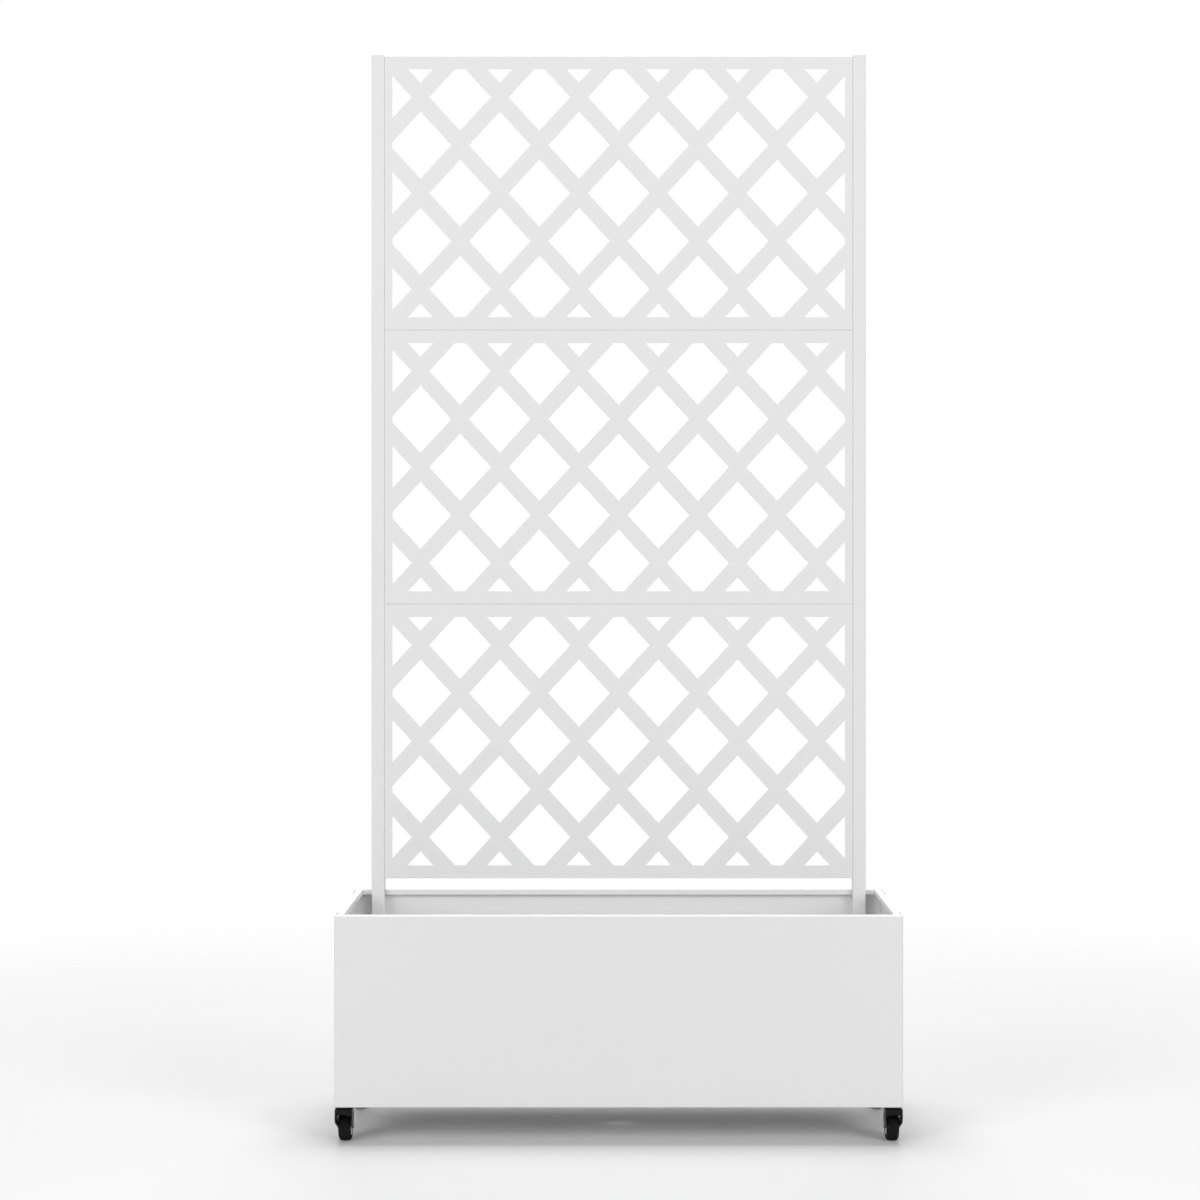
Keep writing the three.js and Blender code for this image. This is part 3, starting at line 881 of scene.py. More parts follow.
def placed(piece: bpy.types.Object, matrix: Matrix, name: str) -> bpy.types.Object:
    """A copy of an object with its own mesh, whose place is in the mesh.

    Args:
        piece: the object to copy.
        matrix: where the copy goes.
        name: the copy's name.

    Returns:
        The copy.
    """
    copy = bpy.data.objects.new(name, piece.data.copy())
    copy.data.name = name
    copy.data.transform(matrix)
    bpy.context.scene.collection.objects.link(copy)
    return copy


# ---------------------------------------------------------------------------------------------
# The box
# ---------------------------------------------------------------------------------------------


@dataclass
class PlanterBox:
    """Four folded sheet walls round a floor with a drain hole."""

    palette: Palette
    edge: float = 0.22 * MM
    walls: tuple[str, ...] = ("front_wall", "back_wall", "left_wall", "right_wall")

    def build(self) -> None:
        """Makes the walls and the floor."""
        for wall in self.walls:
            piece = frame_copy(wall, f"{wall}_sheet")
            soften(piece, self.edge)
            self.palette.dress(piece, Slot.WHITE_COAT, ROOT_BODY, [wall])
        piece = frame_copy("floor_panel", "floor_sheet")
        soften(piece, self.edge)
        self.palette.dress(piece, Slot.WHITE_COAT, ROOT_BODY, ["floor_panel"])


# ---------------------------------------------------------------------------------------------
# The trellis
# ---------------------------------------------------------------------------------------------


@dataclass
class Trellis:
    """Two square posts with caps, and three folded lattice panels between them."""

    palette: Palette
    edge: float = 0.22 * MM
    panels: int = 3
    sheet: float = 1.0 * MM
    bend: float = 1.2 * MM
    fit: float = 0.22 * MM
    stile: float = 13.0 * MM
    rail: float = 21.8 * MM
    hole_width: float = 105.3 * MM
    hole_height: float = 114.7 * MM
    column_step: float = 67.4 * MM
    row_step: float = 81.6 * MM
    cap_crown: float = 0.5 * MM
    cap_play: float = 0.6 * MM
    cap_joint: float = 0.04 * MM

    def build(self) -> None:
        """Makes the posts, their caps and the panels."""
        for side in ("left", "right"):
            post = frame_copy(f"{side}_post", f"{side}_post_tube")
            soften(post, self.edge)
            self.palette.dress(post, Slot.WHITE_COAT, ROOT_BODY, [f"{side}_post"])
            cap = frame_copy(f"{side}_post_cap", f"{side}_post_plug")
            self.seat_cap(cap, post)
            soften(cap, self.cap_crown, 3)
            self.palette.dress(cap, Slot.WHITE_PLASTIC, ROOT_BODY, [f"{side}_post_cap"])
        for number in range(1, self.panels + 1):
            self.lattice_panel(number)

    def seat_cap(self, cap: bpy.types.Object, post: bpy.types.Object) -> None:
        """Brings the underside of a cap's plate down onto its post.

        Args:
            cap: the cap.
            post: the post.
        """
        rim = max(vertex.co.z for vertex in post.data.vertices)
        for vertex in cap.data.vertices:
            if rim < vertex.co.z < rim + self.cap_play:
                vertex.co.z = rim + self.cap_joint

    def lattice_panel(self, number: int) -> None:
        """Makes one panel: a folded blank that is perforated.

        Args:
            number: the panel's number from below.
        """
        node = f"lattice_panel_{number}"
        low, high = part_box(node)
        grow = Vector((self.fit, 0, self.fit / 2))
        piece = self.blank(low - grow, high + grow, f"lattice_{number}")
        self.perforate(piece, low, high)
        soften(piece, self.edge)
        self.palette.dress(piece, Slot.WHITE_COAT, ROOT_BODY, [node])

    def blank(self, low: Vector, high: Vector, name: str) -> bpy.types.Object:
        """A sheet whose four edges are folded back.

        Args:
            low: the panel's lowest corner.
            high: its highest corner.
            name: the object's name.

        Returns:
            The folded sheet as a closed mesh.
        """
        bm = bmesh.new()
        bmesh.ops.create_cube(bm, size=1.0)
        size = high - low
        middle = (low + high) / 2
        bmesh.ops.scale(bm, vec=size, verts=bm.verts)
        bmesh.ops.translate(bm, vec=middle, verts=bm.verts)
        back = [face for face in bm.faces if face.normal.y > 0.5]
        bmesh.ops.delete(bm, geom=back, context="FACES_ONLY")
        front = [edge for edge in bm.edges if all(v.co.y < middle.y for v in edge.verts)]
        bmesh.ops.bevel(bm, geom=front, offset=self.bend, segments=6, profile=0.5, affect="EDGES")
        piece = new_object(name, bm)
        wall = piece.modifiers.new("sheet", "SOLIDIFY")
        wall.thickness = self.sheet
        wall.offset = -1.0
        wall.use_even_offset = True
        settle(piece)
        return piece

    def perforate(self, piece: bpy.types.Object, low: Vector, high: Vector) -> None:
        """Cuts staggered diamonds that fill the panel's window.

        Args:
            piece: the folded sheet.
            low: the panel's lowest corner.
            high: its highest corner.
        """
        board = GeometryBoard("lattice")
        length, count = SocketKind.LENGTH, SocketKind.COUNT
        hole_width = board.input("Hole Width", length, self.hole_width)
        hole_height = board.input("Hole Height", length, self.hole_height)
        column_step = board.input("Column Step", length, self.column_step)
        row_step = board.input("Row Step", length, self.row_step)
        window_width = board.input("Window Width", length, high.x - low.x - 2 * self.stile)
        window_height = board.input("Window Height", length, high.z - low.z - 2 * self.rail)
        columns = board.input("Columns", count, math.ceil((high.x - low.x) / self.column_step / 2))
        rows = board.input("Rows", count, math.ceil((high.z - low.z) / self.row_step / 2))
        depth = board.input("Cut Depth", length, 8 * self.bend)
        centre = ((low.x + high.x) / 2, low.y, (low.z + high.z) / 2)
        middle = board.input("Middle", SocketKind.VECTOR, centre)
        coat = board.input("Coat", SocketKind.MATERIAL, self.palette.materials[Slot.WHITE_COAT])

        grid = board.signal("GeometryNodeMeshGrid", inputs={
            "Size X": columns * column_step * 2, "Size Y": rows * row_step * 2,
            "Vertices X": columns * 2 + 1, "Vertices Y": rows * 2 + 1,
        })
        place = board.signal("GeometryNodeInputPosition")
        apart = board.node("ShaderNodeSeparateXYZ", inputs={"Vector": place})
        column = (Signal(board, apart.outputs["X"]) / column_step).rounded()
        row = (Signal(board, apart.outputs["Y"]) / row_step).rounded()
        points = board.signal("GeometryNodeDeleteGeometry", {"domain": "POINT", "mode": "ALL"},
                              {"Geometry": grid, "Selection": (column + row) % 2.0})
        diamond = board.signal("GeometryNodeMeshCylinder", {"fill_type": "NGON"},
                               {"Vertices": 4, "Radius": 1.0, "Depth": depth})
        scale = board.vector(hole_width * 0.5, hole_height * 0.5, 1.0)
        cutters = board.signal("GeometryNodeInstanceOnPoints", inputs={
            "Points": points, "Instance": diamond, "Scale": scale})
        cutters = board.signal("GeometryNodeRealizeInstances", inputs={"Geometry": cutters})
        window = board.signal("GeometryNodeMeshCube", inputs={
            "Size": board.vector(window_width, window_height, depth * 0.8)})
        cutters = board.joined("INTERSECT", None, [cutters, window])
        cutters = board.moved(cutters, middle, (math.pi / 2, 0, 0))
        board.run(piece, board.joined("DIFFERENCE", board.geometry(), [cutters]), coat)


# ---------------------------------------------------------------------------------------------
# Screws and nuts
# ---------------------------------------------------------------------------------------------


@dataclass
class Fixings:
    """The screws of the box and trellis, and the nuts of the casters."""

    palette: Palette
    head_radius: float = 4.75 * MM
    head_height: float = 2.0 * MM
    crown: tuple[Point, ...] = ((0.0, 1.0), (0.42, 1.0), (0.66, 0.95), (0.86, 0.84), (1.0, 0.68))
    shank_radius: float = 2.4 * MM
    thread_depth: float = 0.3 * MM
    pitch: float = 0.9 * MM
    shank_length: float = 9.0 * MM
    socket_radius: float = 1.75 * MM
    socket_depth: float = 1.2 * MM
    nut_flats: float = 13.0 * MM
    nut_height: float = 5.0 * MM
    flange_radius: float = 8.5 * MM
    flange_height: float = 1.5 * MM
    nut_bore: float = 4.3 * MM

    def build(self) -> None:
        """Makes each kind of screw as one piece, and the nuts as another."""
        nodes = frame["nodes"]
        master = self.screw()
        for kind, slot in (("corner_screw", Slot.WHITE_COAT), ("post_screw", Slot.WHITE_COAT),
                           ("panel_screw", Slot.ZINC_STEEL)):
            group = sorted(name for name in nodes if kind in name)
            piece = self.points(f"{kind}s", group)
            self.screws(piece, slot, master)
            weld(piece)
            smooth(piece, 40.0)
            self.palette.dress(piece, slot, ROOT_BODY, group)
        bpy.data.objects.remove(master)
        group = sorted(name for name in nodes if name.endswith("_caster_nut"))
        piece = self.points("caster_nuts", group)
        self.nuts(piece)
        weld(piece)
        smooth(piece, 40.0)
        self.palette.dress(piece, Slot.ZINC_STEEL, ROOT_BODY, group)

    @staticmethod
    def aim(node: str) -> Vector:
        """The direction in which a fixing's head looks.

        Args:
            node: the fixing's node.

        Returns:
            A unit vector.
        """
        if "nut" in node:
            return Vector((0, 0, 1))
        if "post_screw" in node:
            return Vector((0, 1, 0))
        side = -1.0 if "left" in node else 1.0
        return Vector((-side if "panel_screw" in node else side, 0, 0))

    def points(self, name: str, nodes: Sequence[str]) -> bpy.types.Object:
        """A mesh with one point under the head of each fixing, which carries its aim.

        Args:
            name: the object's name.
            nodes: the fixings' nodes.

        Returns:
            The object.
        """
        bm = bmesh.new()
        aims = bm.verts.layers.float_vector.new("aim")
        for node in nodes:
            low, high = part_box(node)
            aim = self.aim(node)
            middle, half = (low + high) / 2, (high - low) / 2
            top = middle + Vector(side * reach for side, reach in zip(aim, half))
            under = 2 * half.z if "nut" in node else self.head_height
            bm.verts.new(top - aim * under)[aims] = aim
        return new_object(name, bm)

    @staticmethod
    def cone(board: GeometryBoard, low: Any, high: Any, start: Any, length: Any,
             facets: int) -> Signal:
        """A closed cone or cylinder on the Z axis.

        Args:
            board: the tree.
            low: its radius at the bottom.
            high: its radius at the top.
            start: the height of its bottom.
            length: how high it is.
            facets: the facets of a full turn.

        Returns:
            The mesh.
        """
        mesh = board.signal("GeometryNodeMeshCone", {"fill_type": "NGON"}, {
            "Vertices": facets, "Radius Top": high, "Radius Bottom": low, "Depth": length})
        return board.moved(mesh, board.vector(0.0, 0.0, start))

    def spread(self, board: GeometryBoard, piece: bpy.types.Object, fixing: Signal,
               slot: Slot) -> None:
        """Puts a fixing on every point, turned to its aim, and runs the tree.

        Args:
            board: the tree.
            piece: the object with the points.
            fixing: the mesh of one fixing along Z.
            slot: its finish.
        """
        seed = board.input("Seed", SocketKind.COUNT, 7)
        coat = board.input("Coat", SocketKind.MATERIAL, self.palette.materials[slot])
        aim = board.signal("GeometryNodeInputNamedAttribute", {"data_type": "FLOAT_VECTOR"},
                           {"Name": "aim"})
        turn = board.signal("FunctionNodeRandomValue", {"data_type": "FLOAT"},
                            {"Min_001": 0.0, "Max_001": math.tau, "Seed": seed}, "Value_001")
        spin = board.signal("FunctionNodeAxisAngleToRotation",
                            inputs={"Axis": (0, 0, 1), "Angle": turn})
        look = board.signal("FunctionNodeAlignRotationToVector", {"axis": "Z"}, {"Vector": aim})
        both = board.signal("FunctionNodeRotateRotation", {"rotation_space": "LOCAL"},
                            {"Rotation": look, "Rotate By": spin})
        result = board.signal("GeometryNodeInstanceOnPoints", inputs={
            "Points": board.geometry(), "Instance": fixing, "Rotation": both})
        board.run(piece, result, coat)

    def screw(self) -> bpy.types.Object:
        """One pan-head screw along Z, with a six-sided socket and a threaded shank.

        Returns:
            The screw. The underside of its head lies at z = 0.
        """
        core, crest = self.shank_radius - self.thread_depth, self.pitch * 0.35
        root = core * 0.9
        profile = [(0.0, -self.shank_length), (core * 0.7, -self.shank_length)]
        foot = -self.shank_length + self.pitch * 0.6
        while foot + self.pitch < 0:
            profile += [(root, foot), (self.shank_radius, foot + crest), (root, foot + 2 * crest)]
            foot += self.pitch
        profile += [(core, foot), (core, 0.0)]
        profile += [(self.head_radius * r, self.head_height * z) for z, r in self.crown]
        profile.append((0.0, self.head_height))
        piece = new_object("screw_master", lathe(profile, 28))
        top, depth = self.head_height, self.socket_depth
        socket = prism(arc((0, 0), self.socket_radius, 0, 300, 5), top - depth, top + depth, "xyz")
        combine(piece, "DIFFERENCE", [socket])
        return piece

    def screws(self, piece: bpy.types.Object, slot: Slot, master: bpy.types.Object) -> None:
        """Puts a screw on every point.

        Args:
            piece: the object with the points.
            slot: their finish.
            master: the screw.
        """
        board = GeometryBoard("screws")
        screw = board.input("Screw", SocketKind.OBJECT, master)
        shape = board.signal("GeometryNodeObjectInfo", {"transform_space": "ORIGINAL"},
                             {"Object": screw}, "Geometry")
        self.spread(board, piece, shape, slot)

    def nuts(self, piece: bpy.types.Object) -> None:
        """Six-sided nuts with a flange and turned-down corners.

        Args:
            piece: the object with the points.
        """
        board = GeometryBoard("nuts")
        length = SocketKind.LENGTH
        flats = board.input("Across Flats", length, self.nut_flats)
        height = board.input("Nut Height", length, self.nut_height)
        flange = board.input("Flange Radius", length, self.flange_radius)
        base = board.input("Flange Height", length, self.flange_height)
        bore = board.input("Bore Radius", length, self.nut_bore)
        corner = flats / math.sqrt(3)
        hexagon = self.cone(board, corner, corner, base * 0.5, height + base * 0.5, 6)
        turned = self.cone(board, corner * 1.45, corner * 0.86, base * 0.5, height + base * 0.5, 48)
        skirt = self.cone(board, flange, flange, 0.0, base * 0.6, 48)
        slope = self.cone(board, flange, corner * 0.93, base * 0.6, base * 0.8, 48)
        body = board.joined("INTERSECT", None, [hexagon, turned])
        body = board.joined("UNION", None, [body, skirt, slope])
        hole = self.cone(board, bore, bore, base * -1.0, height * 2, 24)
        self.spread(board, piece, board.joined("DIFFERENCE", body, [hole]), Slot.ZINC_STEEL)


# ---------------------------------------------------------------------------------------------
# The casters
# ---------------------------------------------------------------------------------------------


@dataclass
class Caster:
    """A stem caster: the swivel axis is Z, the wheel trails along +Y and the ground is z = 0."""

    palette: Palette
    seat: float = 0.3 * MM
    box_bottom: float = 60 * MM
    stem_radius: float = 4.0 * MM
    stem_top: float = 70.5 * MM
    stem_tip: float = 0.86
    thread_pitch: float = 1.25 * MM
    thread_depth: float = 0.55 * MM
    collar_radius: float = 13.0 * MM
    collar_height: float = 3.0 * MM
    collar_chamfer: float = 0.5 * MM
    collar_race: tuple[Point, ...] = ((-1.4 * MM, 0.0), (-0.7 * MM, 0.35 * MM),
                                      (-0.9 * MM, 1.2 * MM), (-0.2 * MM, 1.45 * MM),
                                      (0.0, 1.8 * MM))
    rivet_radius: float = 6.0 * MM
    rivet_height: float = 2.4 * MM
    rivet_dome: tuple[Point, ...] = ((0.45, 0.0), (0.78, 0.35 * MM), (0.96, 1.1 * MM))
    fork_width: float = 27.5 * MM
    fork_sheet: float = 1.8 * MM
    fork_front: float = 15.0 * MM
    fork_corner: float = 3.5 * MM
    fork_skirt: float = 19.6 * MM
    fork_back_skirt: float = 5.4 * MM
    fork_back_bend: Point = (3.5 * MM, 17 * MM)
    fork_arch: float = 7.9 * MM
    fork_arch_end: float = 14.8 * MM
    fork_taper: float = 1.6 * MM
    fork_taper_start: float = 40 * MM
    fork_taper_end: float = 28 * MM
    boss_radius: float = 6.6 * MM
    trail: float = 24.0 * MM
    axle_radius: float = 3.0 * MM
    axle_head: float = 5.0 * MM
    axle_head_height: float = 0.9 * MM
    axle_dome: tuple[Point, ...] = ((1.0, -0.6 * MM), (0.86, -0.15 * MM), (0.6, 0.0),
                                    (0.3, -0.25 * MM), (0.0, -0.3 * MM))
    wheel_radius: float = 24.78 * MM
    tyre_width: float = 20.0 * MM
    tyre_shoulder: float = 5.0 * MM
    tyre_thickness: float = 6.0 * MM
    tyre_groove: float = 0.45 * MM
    groove_width: float = 1.1 * MM
    groove_places: tuple[float, ...] = (-3.6 * MM, -1.2 * MM, 1.2 * MM, 3.6 * MM)
    tyre_bead: float = 16.6 * MM
    tyre_lip: tuple[Point, ...] = ((1.4 * MM, 0.0), (1.1 * MM, -0.3 * MM), (0.3 * MM, -0.3 * MM),
                                   (0.0, -0.6 * MM), (0.0, -1.0 * MM))
    tread_reach: float = 1.6 * MM
    tread_fade: float = 1.4 * MM
    hub_rim: float = 4.4 * MM
    hub_boss: float = 7.0 * MM
    hub_web: float = 8.0 * MM
    hub_edge: float = 0.3 * MM
    hub_fillet: float = 0.6 * MM
    hub_taper: float = 0.4 * MM
    hub_ledge: float = 1.3 * MM
    hub_spokes: int = 6
    spoke_foot: Point = (-1.0 * MM, 0.75 * MM)
    spoke_tip: Point = (0.8 * MM, 0.55 * MM)
    spoke_recess: float = 1.6 * MM
    hub_side_gap: float = 0.4 * MM

    def __post_init__(self) -> None:
        """Finds the height of the axle, which lays the tyre on the ground."""
        low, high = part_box("front_left_caster_tyre")
        self.axle_height = (low.z + high.z) / 2

    @property
    def fork_top(self) -> float:
        """The height of the crown's top."""
        return self.box_bottom - self.seat - self.collar_height - self.seat

    def masters(self) -> dict[str, tuple[bpy.types.Object, Slot]]:
        """Builds one of each piece.

        Returns:
            The pieces and their finishes by the names of their nodes.
        """
        return {
            "stem": (self.stem(), Slot.BLACK_STEEL),
            "fork": (self.fork(), Slot.BLACK_STEEL),
            "axle": (self.axle(), Slot.ZINC_STEEL),
            "hub": (self.hub(), Slot.HUB_PLASTIC),
            "tyre": (self.tyre(), Slot.TYRE_RUBBER),
        }

    def build(self) -> None:
        """Makes the four casters. The wheels trail towards the middle of the box."""
        bodies = {"stem": ROOT_BODY, "fork": "{}_swivel_fork", "axle": "{}_swivel_fork",
                  "hub": "{}_wheel", "tyre": "{}_wheel"}
        masters = self.masters()
        for joint in frame["joints"]:
            if not joint["name"].endswith("_swivel"):
                continue
            corner = joint["name"].removesuffix("_swivel")
            x, y, _ = joint["pos_m"]
            turn = math.pi if y > 0 else 0.0
            matrix = Matrix.Translation((x, y, 0)) @ Matrix.Rotation(turn, 4, "Z")
            for part, (master, slot) in masters.items():
                node = f"{corner}_caster_{part}"
                piece = placed(master, matrix, f"{corner}_{part}_detail")
                self.palette.dress(piece, slot, bodies[part].format(corner), [node])
        for master, _ in masters.values():
            bpy.data.objects.remove(master)

    @property
    def onto_axle(self) -> Matrix:
        """Lays what is turned about the Z axis onto the wheel's axle."""
        place = Matrix.Translation((0, self.trail, self.axle_height))
        return place @ Matrix.Rotation(math.pi / 2, 4, "Y")

    def across(self, bm: bmesh.types.BMesh) -> bmesh.types.BMesh:
        """Lays a turned mesh from the Z axis onto the wheel's axle.

        Args:
            bm: the mesh.

        Returns:
            The same mesh.
        """
        bm.transform(self.onto_axle)
        return bm

    def stem(self) -> bpy.types.Object:
        """The fixed middle: threaded stem, bearing collar with its race, and a domed rivet."""
        top = self.box_bottom - self.seat
        under = self.fork_top - self.fork_sheet - self.seat
        low = under - self.rivet_height
        r, collar, rivet = self.stem_radius, self.collar_radius, self.rivet_radius
        bottom, chamfer = top - self.collar_height, self.collar_chamfer
        profile = [(0.0, low), *((rivet * share, low + up) for share, up in self.rivet_dome)]
        profile += [(rivet, under), (r, under), (r, bottom)]
        profile += [(collar + out, bottom + up) for out, up in self.collar_race]
        profile += [(collar, top - chamfer), (collar - chamfer, top), (r, top)]
        height = top + self.thread_pitch
        while height + self.thread_pitch < self.stem_top:
            profile += [(r, height), (r - self.thread_depth, height + self.thread_pitch / 2)]
            height += self.thread_pitch
        profile += [(r, height), (r * self.stem_tip, self.stem_top), (0.0, self.stem_top)]
        piece = new_object("stem_master", lathe(profile, 48))
        soften(piece, width=0.08 * MM, segments=1, angle=50.0)
        return piece

    def fork_outline(self) -> list[Point]:
        """Side view of the fork: a crown, and legs that run straight underneath to a round boss."""
        front, top, z, boss = -self.fork_front, self.fork_top, self.axle_height, self.boss_radius
        corner = (front, top - self.fork_skirt)
        run, rise = self.trail - corner[0], z - corner[1]
        slope = math.degrees(math.atan2(rise, run) - math.asin(boss / math.hypot(run, rise)))
        points = [(front, top), corner, *arc((self.trail, z), boss, 270 + slope, 352, 14)]
        out, down = self.fork_back_bend
        points += curve((self.trail + boss, z + boss * 0.3), (-front + out, top - down),
                        (-front, top - self.fork_back_skirt))
        return [*points, (-front, top)]

    def fork(self) -> bpy.types.Object:
        """The pressed fork: an arched crown with round corners and two flat legs."""
        half, front, top = self.fork_width / 2, -self.fork_front, self.fork_top
        reach, sheet, corner = self.trail + 2 * self.boss_radius, self.fork_sheet, self.fork_corner

        def plan(inset: float, far: float) -> list[Point]:
            """Top view of the crown, drawn in by an inset."""
            x, y, r = half - inset, front + inset, corner - inset
            left, right = arc((-x + r, y + r), r, 180, 270), arc((x - r, y + r), r, 270, 360)
            return [*left, *right, (x, far), (-x, far)]

        def pin(radius: float, middle: float, length: float) -> bmesh.types.BMesh:
            """A round cutter on the Z axis."""
            return lathe([(0, middle - length), (radius, middle - length),
                          (radius, middle + length), (0, middle + length)], 32)

        piece = new_object("fork_master", prism(self.fork_outline(), -half, half, "yzx"))
        combine(piece, "INTERSECT", [prism(plan(0.0, reach), 0.0, top + 1 * MM, "xyz")])
        wide, end = half + 1 * MM, top - self.fork_arch_end
        rise = self.fork_arch_end - self.fork_arch
        arch = [(wide * u, end + rise * v) for u, v in arc((0, 0), 1.0, 0, 180, 28)]
        below = -10 * MM
        arch += [(-wide, below), (wide, below)]
        combine(piece, "DIFFERENCE", [
            prism(plan(sheet, reach * 2), below, top - sheet, "xyz"),
            prism(arch, front - 5 * MM, front + corner, "xzy"),
            self.across(pin(self.axle_radius + self.seat, 0.0, half * 2)),
            pin(self.stem_radius + self.seat, top, 5 * MM),
        ])
        soften(piece, width=0.4 * MM, segments=3, angle=32.0)
        self.taper(piece)
        return piece

    def taper(self, piece: bpy.types.Object) -> None:
        """Joggles the fork's legs towards the wheel, down to the axle.

        Args:
            piece: the fork.
        """
        drop = self.fork_taper_start - self.fork_taper_end
        for vertex in piece.data.vertices:
            share = (self.fork_taper_start - vertex.co.z) / drop
            share = min(1.0, max(0.0, share))
            step = self.fork_taper * share * share * (3 - 2 * share)
            vertex.co.x -= math.copysign(step, vertex.co.x)

    def axle(self) -> bpy.types.Object:
        """The axle rivet with a shallow domed head on both sides."""
        under = self.fork_width / 2 - self.fork_taper + self.seat
        end = under + self.axle_head_height
        r, head = self.axle_radius, self.axle_head
        dome = [(head, under), *((head * share, end + up) for share, up in self.axle_dome)]
        other = [(radius, -height) for radius, height in reversed(dome)]
        rivet = lathe([*other, (r, -under), (r, under), *dome], 40)
        piece = new_object("axle_master", self.across(rivet))
        soften(piece, width=0.06 * MM, segments=1, angle=50.0)
        return piece

    def tyre(self) -> bpy.types.Object:
        """The tyre: round shoulders, shallow running grooves and a ridge where it meets the hub."""
        half, big = self.tyre_width / 2, self.wheel_radius
        shoulder = self.tyre_shoulder
        bore = self.wheel_radius - self.tyre_thickness + self.seat
        tread = arc((big - shoulder, -half + shoulder), shoulder, 270, 360, 10)
        width, bottom = self.groove_width / 2, big - self.tyre_groove
        for middle in self.groove_places:
            tread += [(big, middle - width), (bottom, middle - width * 0.5),
                      (bottom, middle + width * 0.5), (big, middle + width)]
        tread += arc((big - shoulder, half - shoulder), shoulder, 0, 90, 10)
        lip = [(self.tyre_bead + out, half + up) for out, up in self.tyre_lip]
        lip.append((bore, lip[-1][1]))
        other = [(radius, -height) for radius, height in reversed(lip)]
        piece = new_object("tyre_master", self.across(lathe([*other, *tread, *lip], 96)))
        for polygon in piece.data.polygons:
            polygon.use_smooth = True
        piece.data.set_sharp_from_angle(angle=math.radians(40))
        mask = piece.data.attributes.new("tread", "FLOAT", "POINT")
        for vertex, value in zip(piece.data.vertices, mask.data):
            radius = math.hypot(vertex.co.y - self.trail, vertex.co.z - self.axle_height)
            value.value = max(0.0, min(1.0, (radius - big + self.tread_reach) / self.tread_fade))
        return piece

    def hub(self) -> bpy.types.Object:
        """The hub: a rim, a thin web with spokes on both sides and a boss that reaches the fork."""
        half, web = self.tyre_width / 2, self.hub_web / 2
        outer = self.wheel_radius - self.tyre_thickness
        rim, boss, bore = outer - self.hub_rim, self.hub_boss, self.axle_radius + self.seat
        end = self.fork_width / 2 - self.fork_taper - self.fork_sheet - self.hub_side_gap
        edge, fillet, taper = self.hub_edge, self.hub_fillet, self.hub_taper
        face, bead, ledge = half - edge, self.tyre_bead - edge, half - self.hub_ledge
        side = [(boss - edge, end), (boss, end - taper), (boss + taper, web + fillet),
                (boss + 1.1 * MM, web), (rim - 1.0 * MM, web), (rim - edge, web + fillet),
                (rim, face - edge), (rim + edge, face), (bead - edge, face),
                (bead, face - edge), (bead, ledge), (outer, ledge)]
        other = [(radius, -height) for radius, height in reversed(side)]
        bm = lathe([(bore, end), *side, *other, (bore, -end)], 72)
        piece = new_object("hub_master", bm)
        height = half - self.spoke_recess
        spokes = []
        for index in range(self.hub_spokes):
            foot = (boss + self.spoke_foot[0], self.spoke_foot[1])
            tip = (rim + self.spoke_tip[0], self.spoke_tip[1])
            sides = [(foot[0], -foot[1]), (tip[0], -tip[1]), tip, foot]
            rib = prism(sides, -height, height, "xyz")
            rib.transform(Matrix.Rotation(math.tau * index / self.hub_spokes, 4, "Z"))
            spokes.append(rib)
        combine(piece, "UNION", spokes)
        piece.data.transform(self.onto_axle)
        soften(piece, width=0.12 * MM, segments=1, angle=42.0)
        return piece


# ---------------------------------------------------------------------------------------------
# The studio
# ---------------------------------------------------------------------------------------------


@dataclass(frozen=True)
class SoftLight:
    """A rectangular lamp that looks at a point."""

    name: str
    place: Place
    aim: Place
    width: float
    height: float
    power: float

    def build(self) -> None:
        """Makes the lamp."""
        data = bpy.data.lights.new(self.name, "AREA")
        data.shape = "RECTANGLE"
        data.size, data.size_y = self.width, self.height
        data.energy = self.power
        lamp = bpy.data.objects.new(self.name, data)
        lamp.location = self.place
        direction = Vector(self.aim) - Vector(self.place)
        lamp.rotation_euler = direction.to_track_quat("-Z", "Y").to_euler()
        bpy.context.scene.collection.objects.link(lamp)


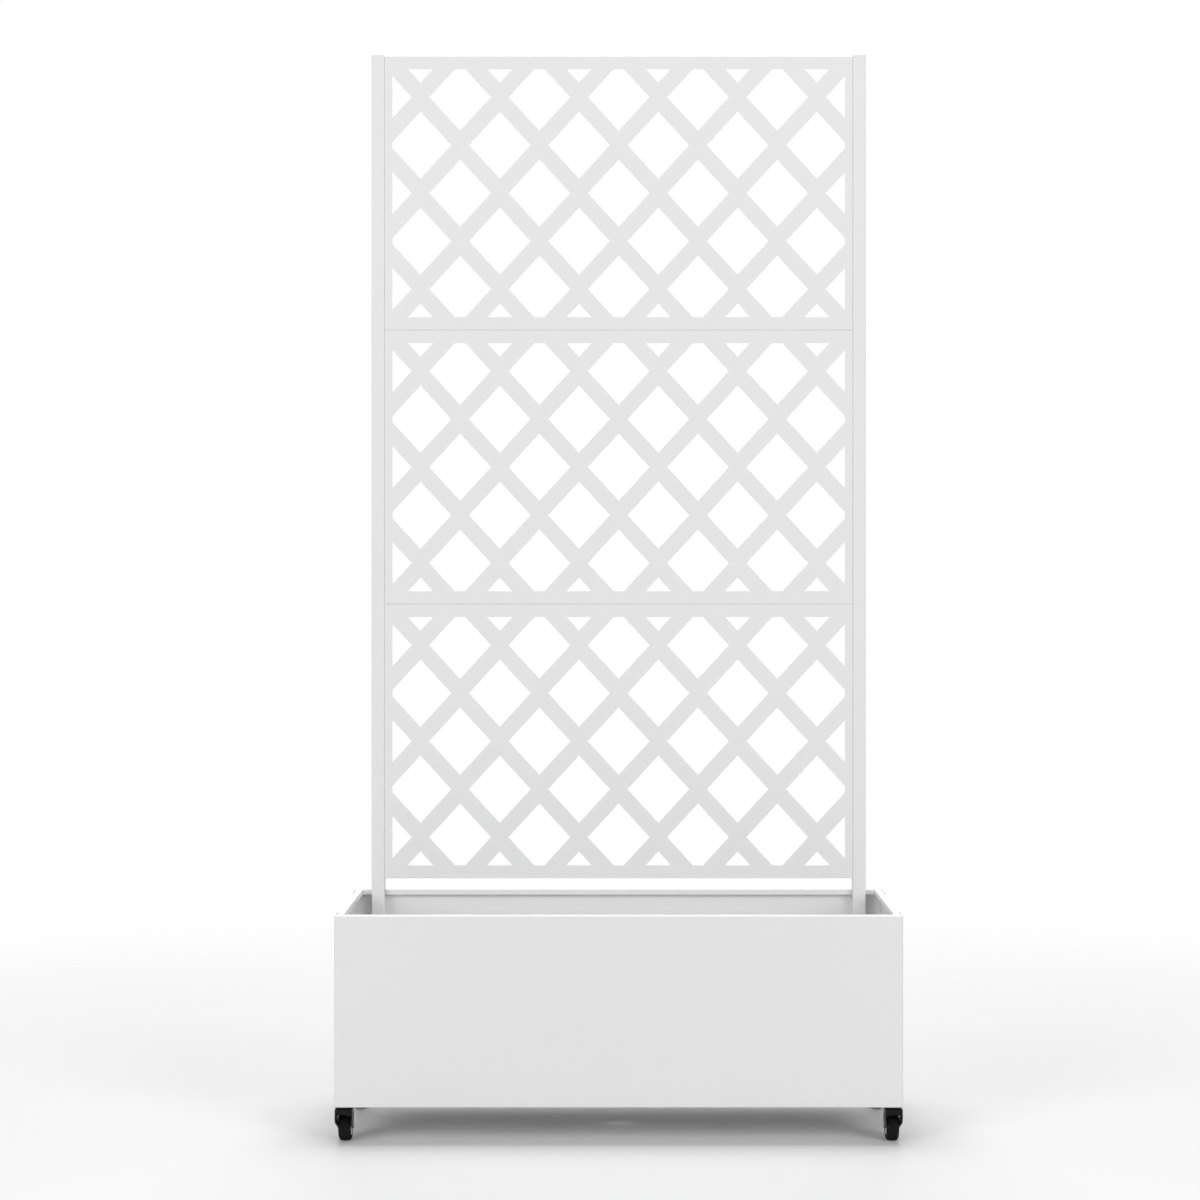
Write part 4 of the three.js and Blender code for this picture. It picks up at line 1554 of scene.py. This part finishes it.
@dataclass
class Studio:
    """The plain floor, the white background, the soft lamps and the camera."""

    ambient: float = 0.33
    floor_radius: float = 6.0
    floor_colour: Colour = (0.56, 0.56, 0.56)
    floor_shown: Colour = (0.81, 0.81, 0.81)
    fade_start: float = 0.9
    fade_end: float = 2.6
    picture: int = 1200
    box_centre_px: float = 618.7
    box_width_px: float = 569.3
    horizon_px: float = 560.0
    box_width: float = 0.9
    camera_distance: float = 3.685
    box_bottom_px: float = 1108.0
    box_bottom: float = 0.060
    sensor: float = 36.0

    def build(self) -> None:
        """Makes the surroundings."""
        scene = bpy.context.scene
        scene.view_settings.view_transform = "Standard"
        self.background()
        self.floor()
        for lamp in (
            SoftLight("left_lamp", (-3.0, -3.6, 2.1), (0, 0, 1.0), 2.2, 2.6, 89),
            SoftLight("right_lamp", (3.0, -3.6, 2.1), (0, 0, 1.0), 2.2, 2.6, 89),
            SoftLight("top_lamp", (0, 0.25, 4.4), (0, 0, 0.4), 3.0, 2.0, 90),
            SoftLight("back_lamp", (0, 3.6, 3.0), (0, 0, 0.9), 3.0, 2.2, 73),
        ):
            lamp.build()
        self.camera()

    def background(self) -> None:
        """A white surround for the eye and for reflections, at a lower level for the light."""
        world = bpy.data.worlds.new("surround")
        bpy.context.scene.world = world
        world.use_nodes = True
        board = Board(world.node_tree)
        seen = self.seen(board)
        lit = board.signal("ShaderNodeBackground",
                           inputs={"Color": WHITE, "Strength": self.ambient})
        shown = board.signal("ShaderNodeBackground", inputs={"Color": WHITE, "Strength": 1.0})
        mixed = board.signal("ShaderNodeMixShader", inputs={0: seen, 1: lit, 2: shown})
        board.node("ShaderNodeOutputWorld", inputs={"Surface": mixed})

    @staticmethod
    def seen(board: Board) -> Signal:
        """1 for rays that show something, 0 for rays that only light it.

        Args:
            board: the tree.

        Returns:
            The mask.
        """
        path = board.node("ShaderNodeLightPath")
        rays = [Signal(board, path.outputs[name])
                for name in ("Is Camera Ray", "Is Glossy Ray", "Is Transmission Ray")]
        total = rays[0] + rays[1] + rays[2]
        return total.math("MINIMUM", total, 1.0)

    def floor(self) -> None:
        """A round pale floor that fades into the background and keeps the planter's shadow."""
        bm = bmesh.new()
        bmesh.ops.create_circle(bm, cap_ends=True, segments=96, radius=self.floor_radius)
        floor = new_object("studio_floor", bm)
        board = ShaderBoard("studio_floor")
        colour = board.blend(self.floor_colour, self.floor_shown, self.seen(board))
        lit = board.signal("ShaderNodeBsdfDiffuse", inputs={"Color": colour})
        away = board.signal("ShaderNodeVectorMath", {"operation": "LENGTH"}, {0: board.place},
                            "Value")
        clear = board.signal("ShaderNodeBsdfTransparent")
        fade = away.between(self.fade_start, self.fade_end)
        mixed = board.signal("ShaderNodeMixShader", inputs={0: fade, 1: lit, 2: clear})
        board.node("ShaderNodeOutputMaterial", inputs={"Surface": mixed})
        floor.data.materials.append(board.material)

    def camera(self) -> None:
        """A level camera in front of the middle, framed as the photograph is."""
        data = bpy.data.cameras.new("camera")
        camera = bpy.data.objects.new("camera", data)
        bpy.context.scene.collection.objects.link(camera)
        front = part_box("front_wall")[0].y
        focal = self.box_width_px / self.box_width * self.camera_distance
        drop = (self.box_bottom_px - self.horizon_px) * self.camera_distance / focal
        data.sensor_width = self.sensor
        data.lens = focal / self.picture * self.sensor
        data.shift_x = (self.picture / 2 - self.box_centre_px) / self.picture
        data.shift_y = (self.horizon_px - self.picture / 2) / self.picture
        camera.location = (0.0, front - self.camera_distance, self.box_bottom + drop)
        camera.rotation_euler = (math.pi / 2, 0.0, 0.0)
        bpy.context.scene.camera = camera


def main() -> None:
    """Builds the planter and its surroundings in order."""
    logging.basicConfig(level=logging.INFO, format="%(name)s: %(message)s")
    palette = Palette()
    parts: list[Callable[[Palette], Any]] = [PlanterBox, Trellis, Fixings, Caster]
    for part in parts:
        part(palette).build()
    Studio().build()


if __name__ == "__main__":
    main()
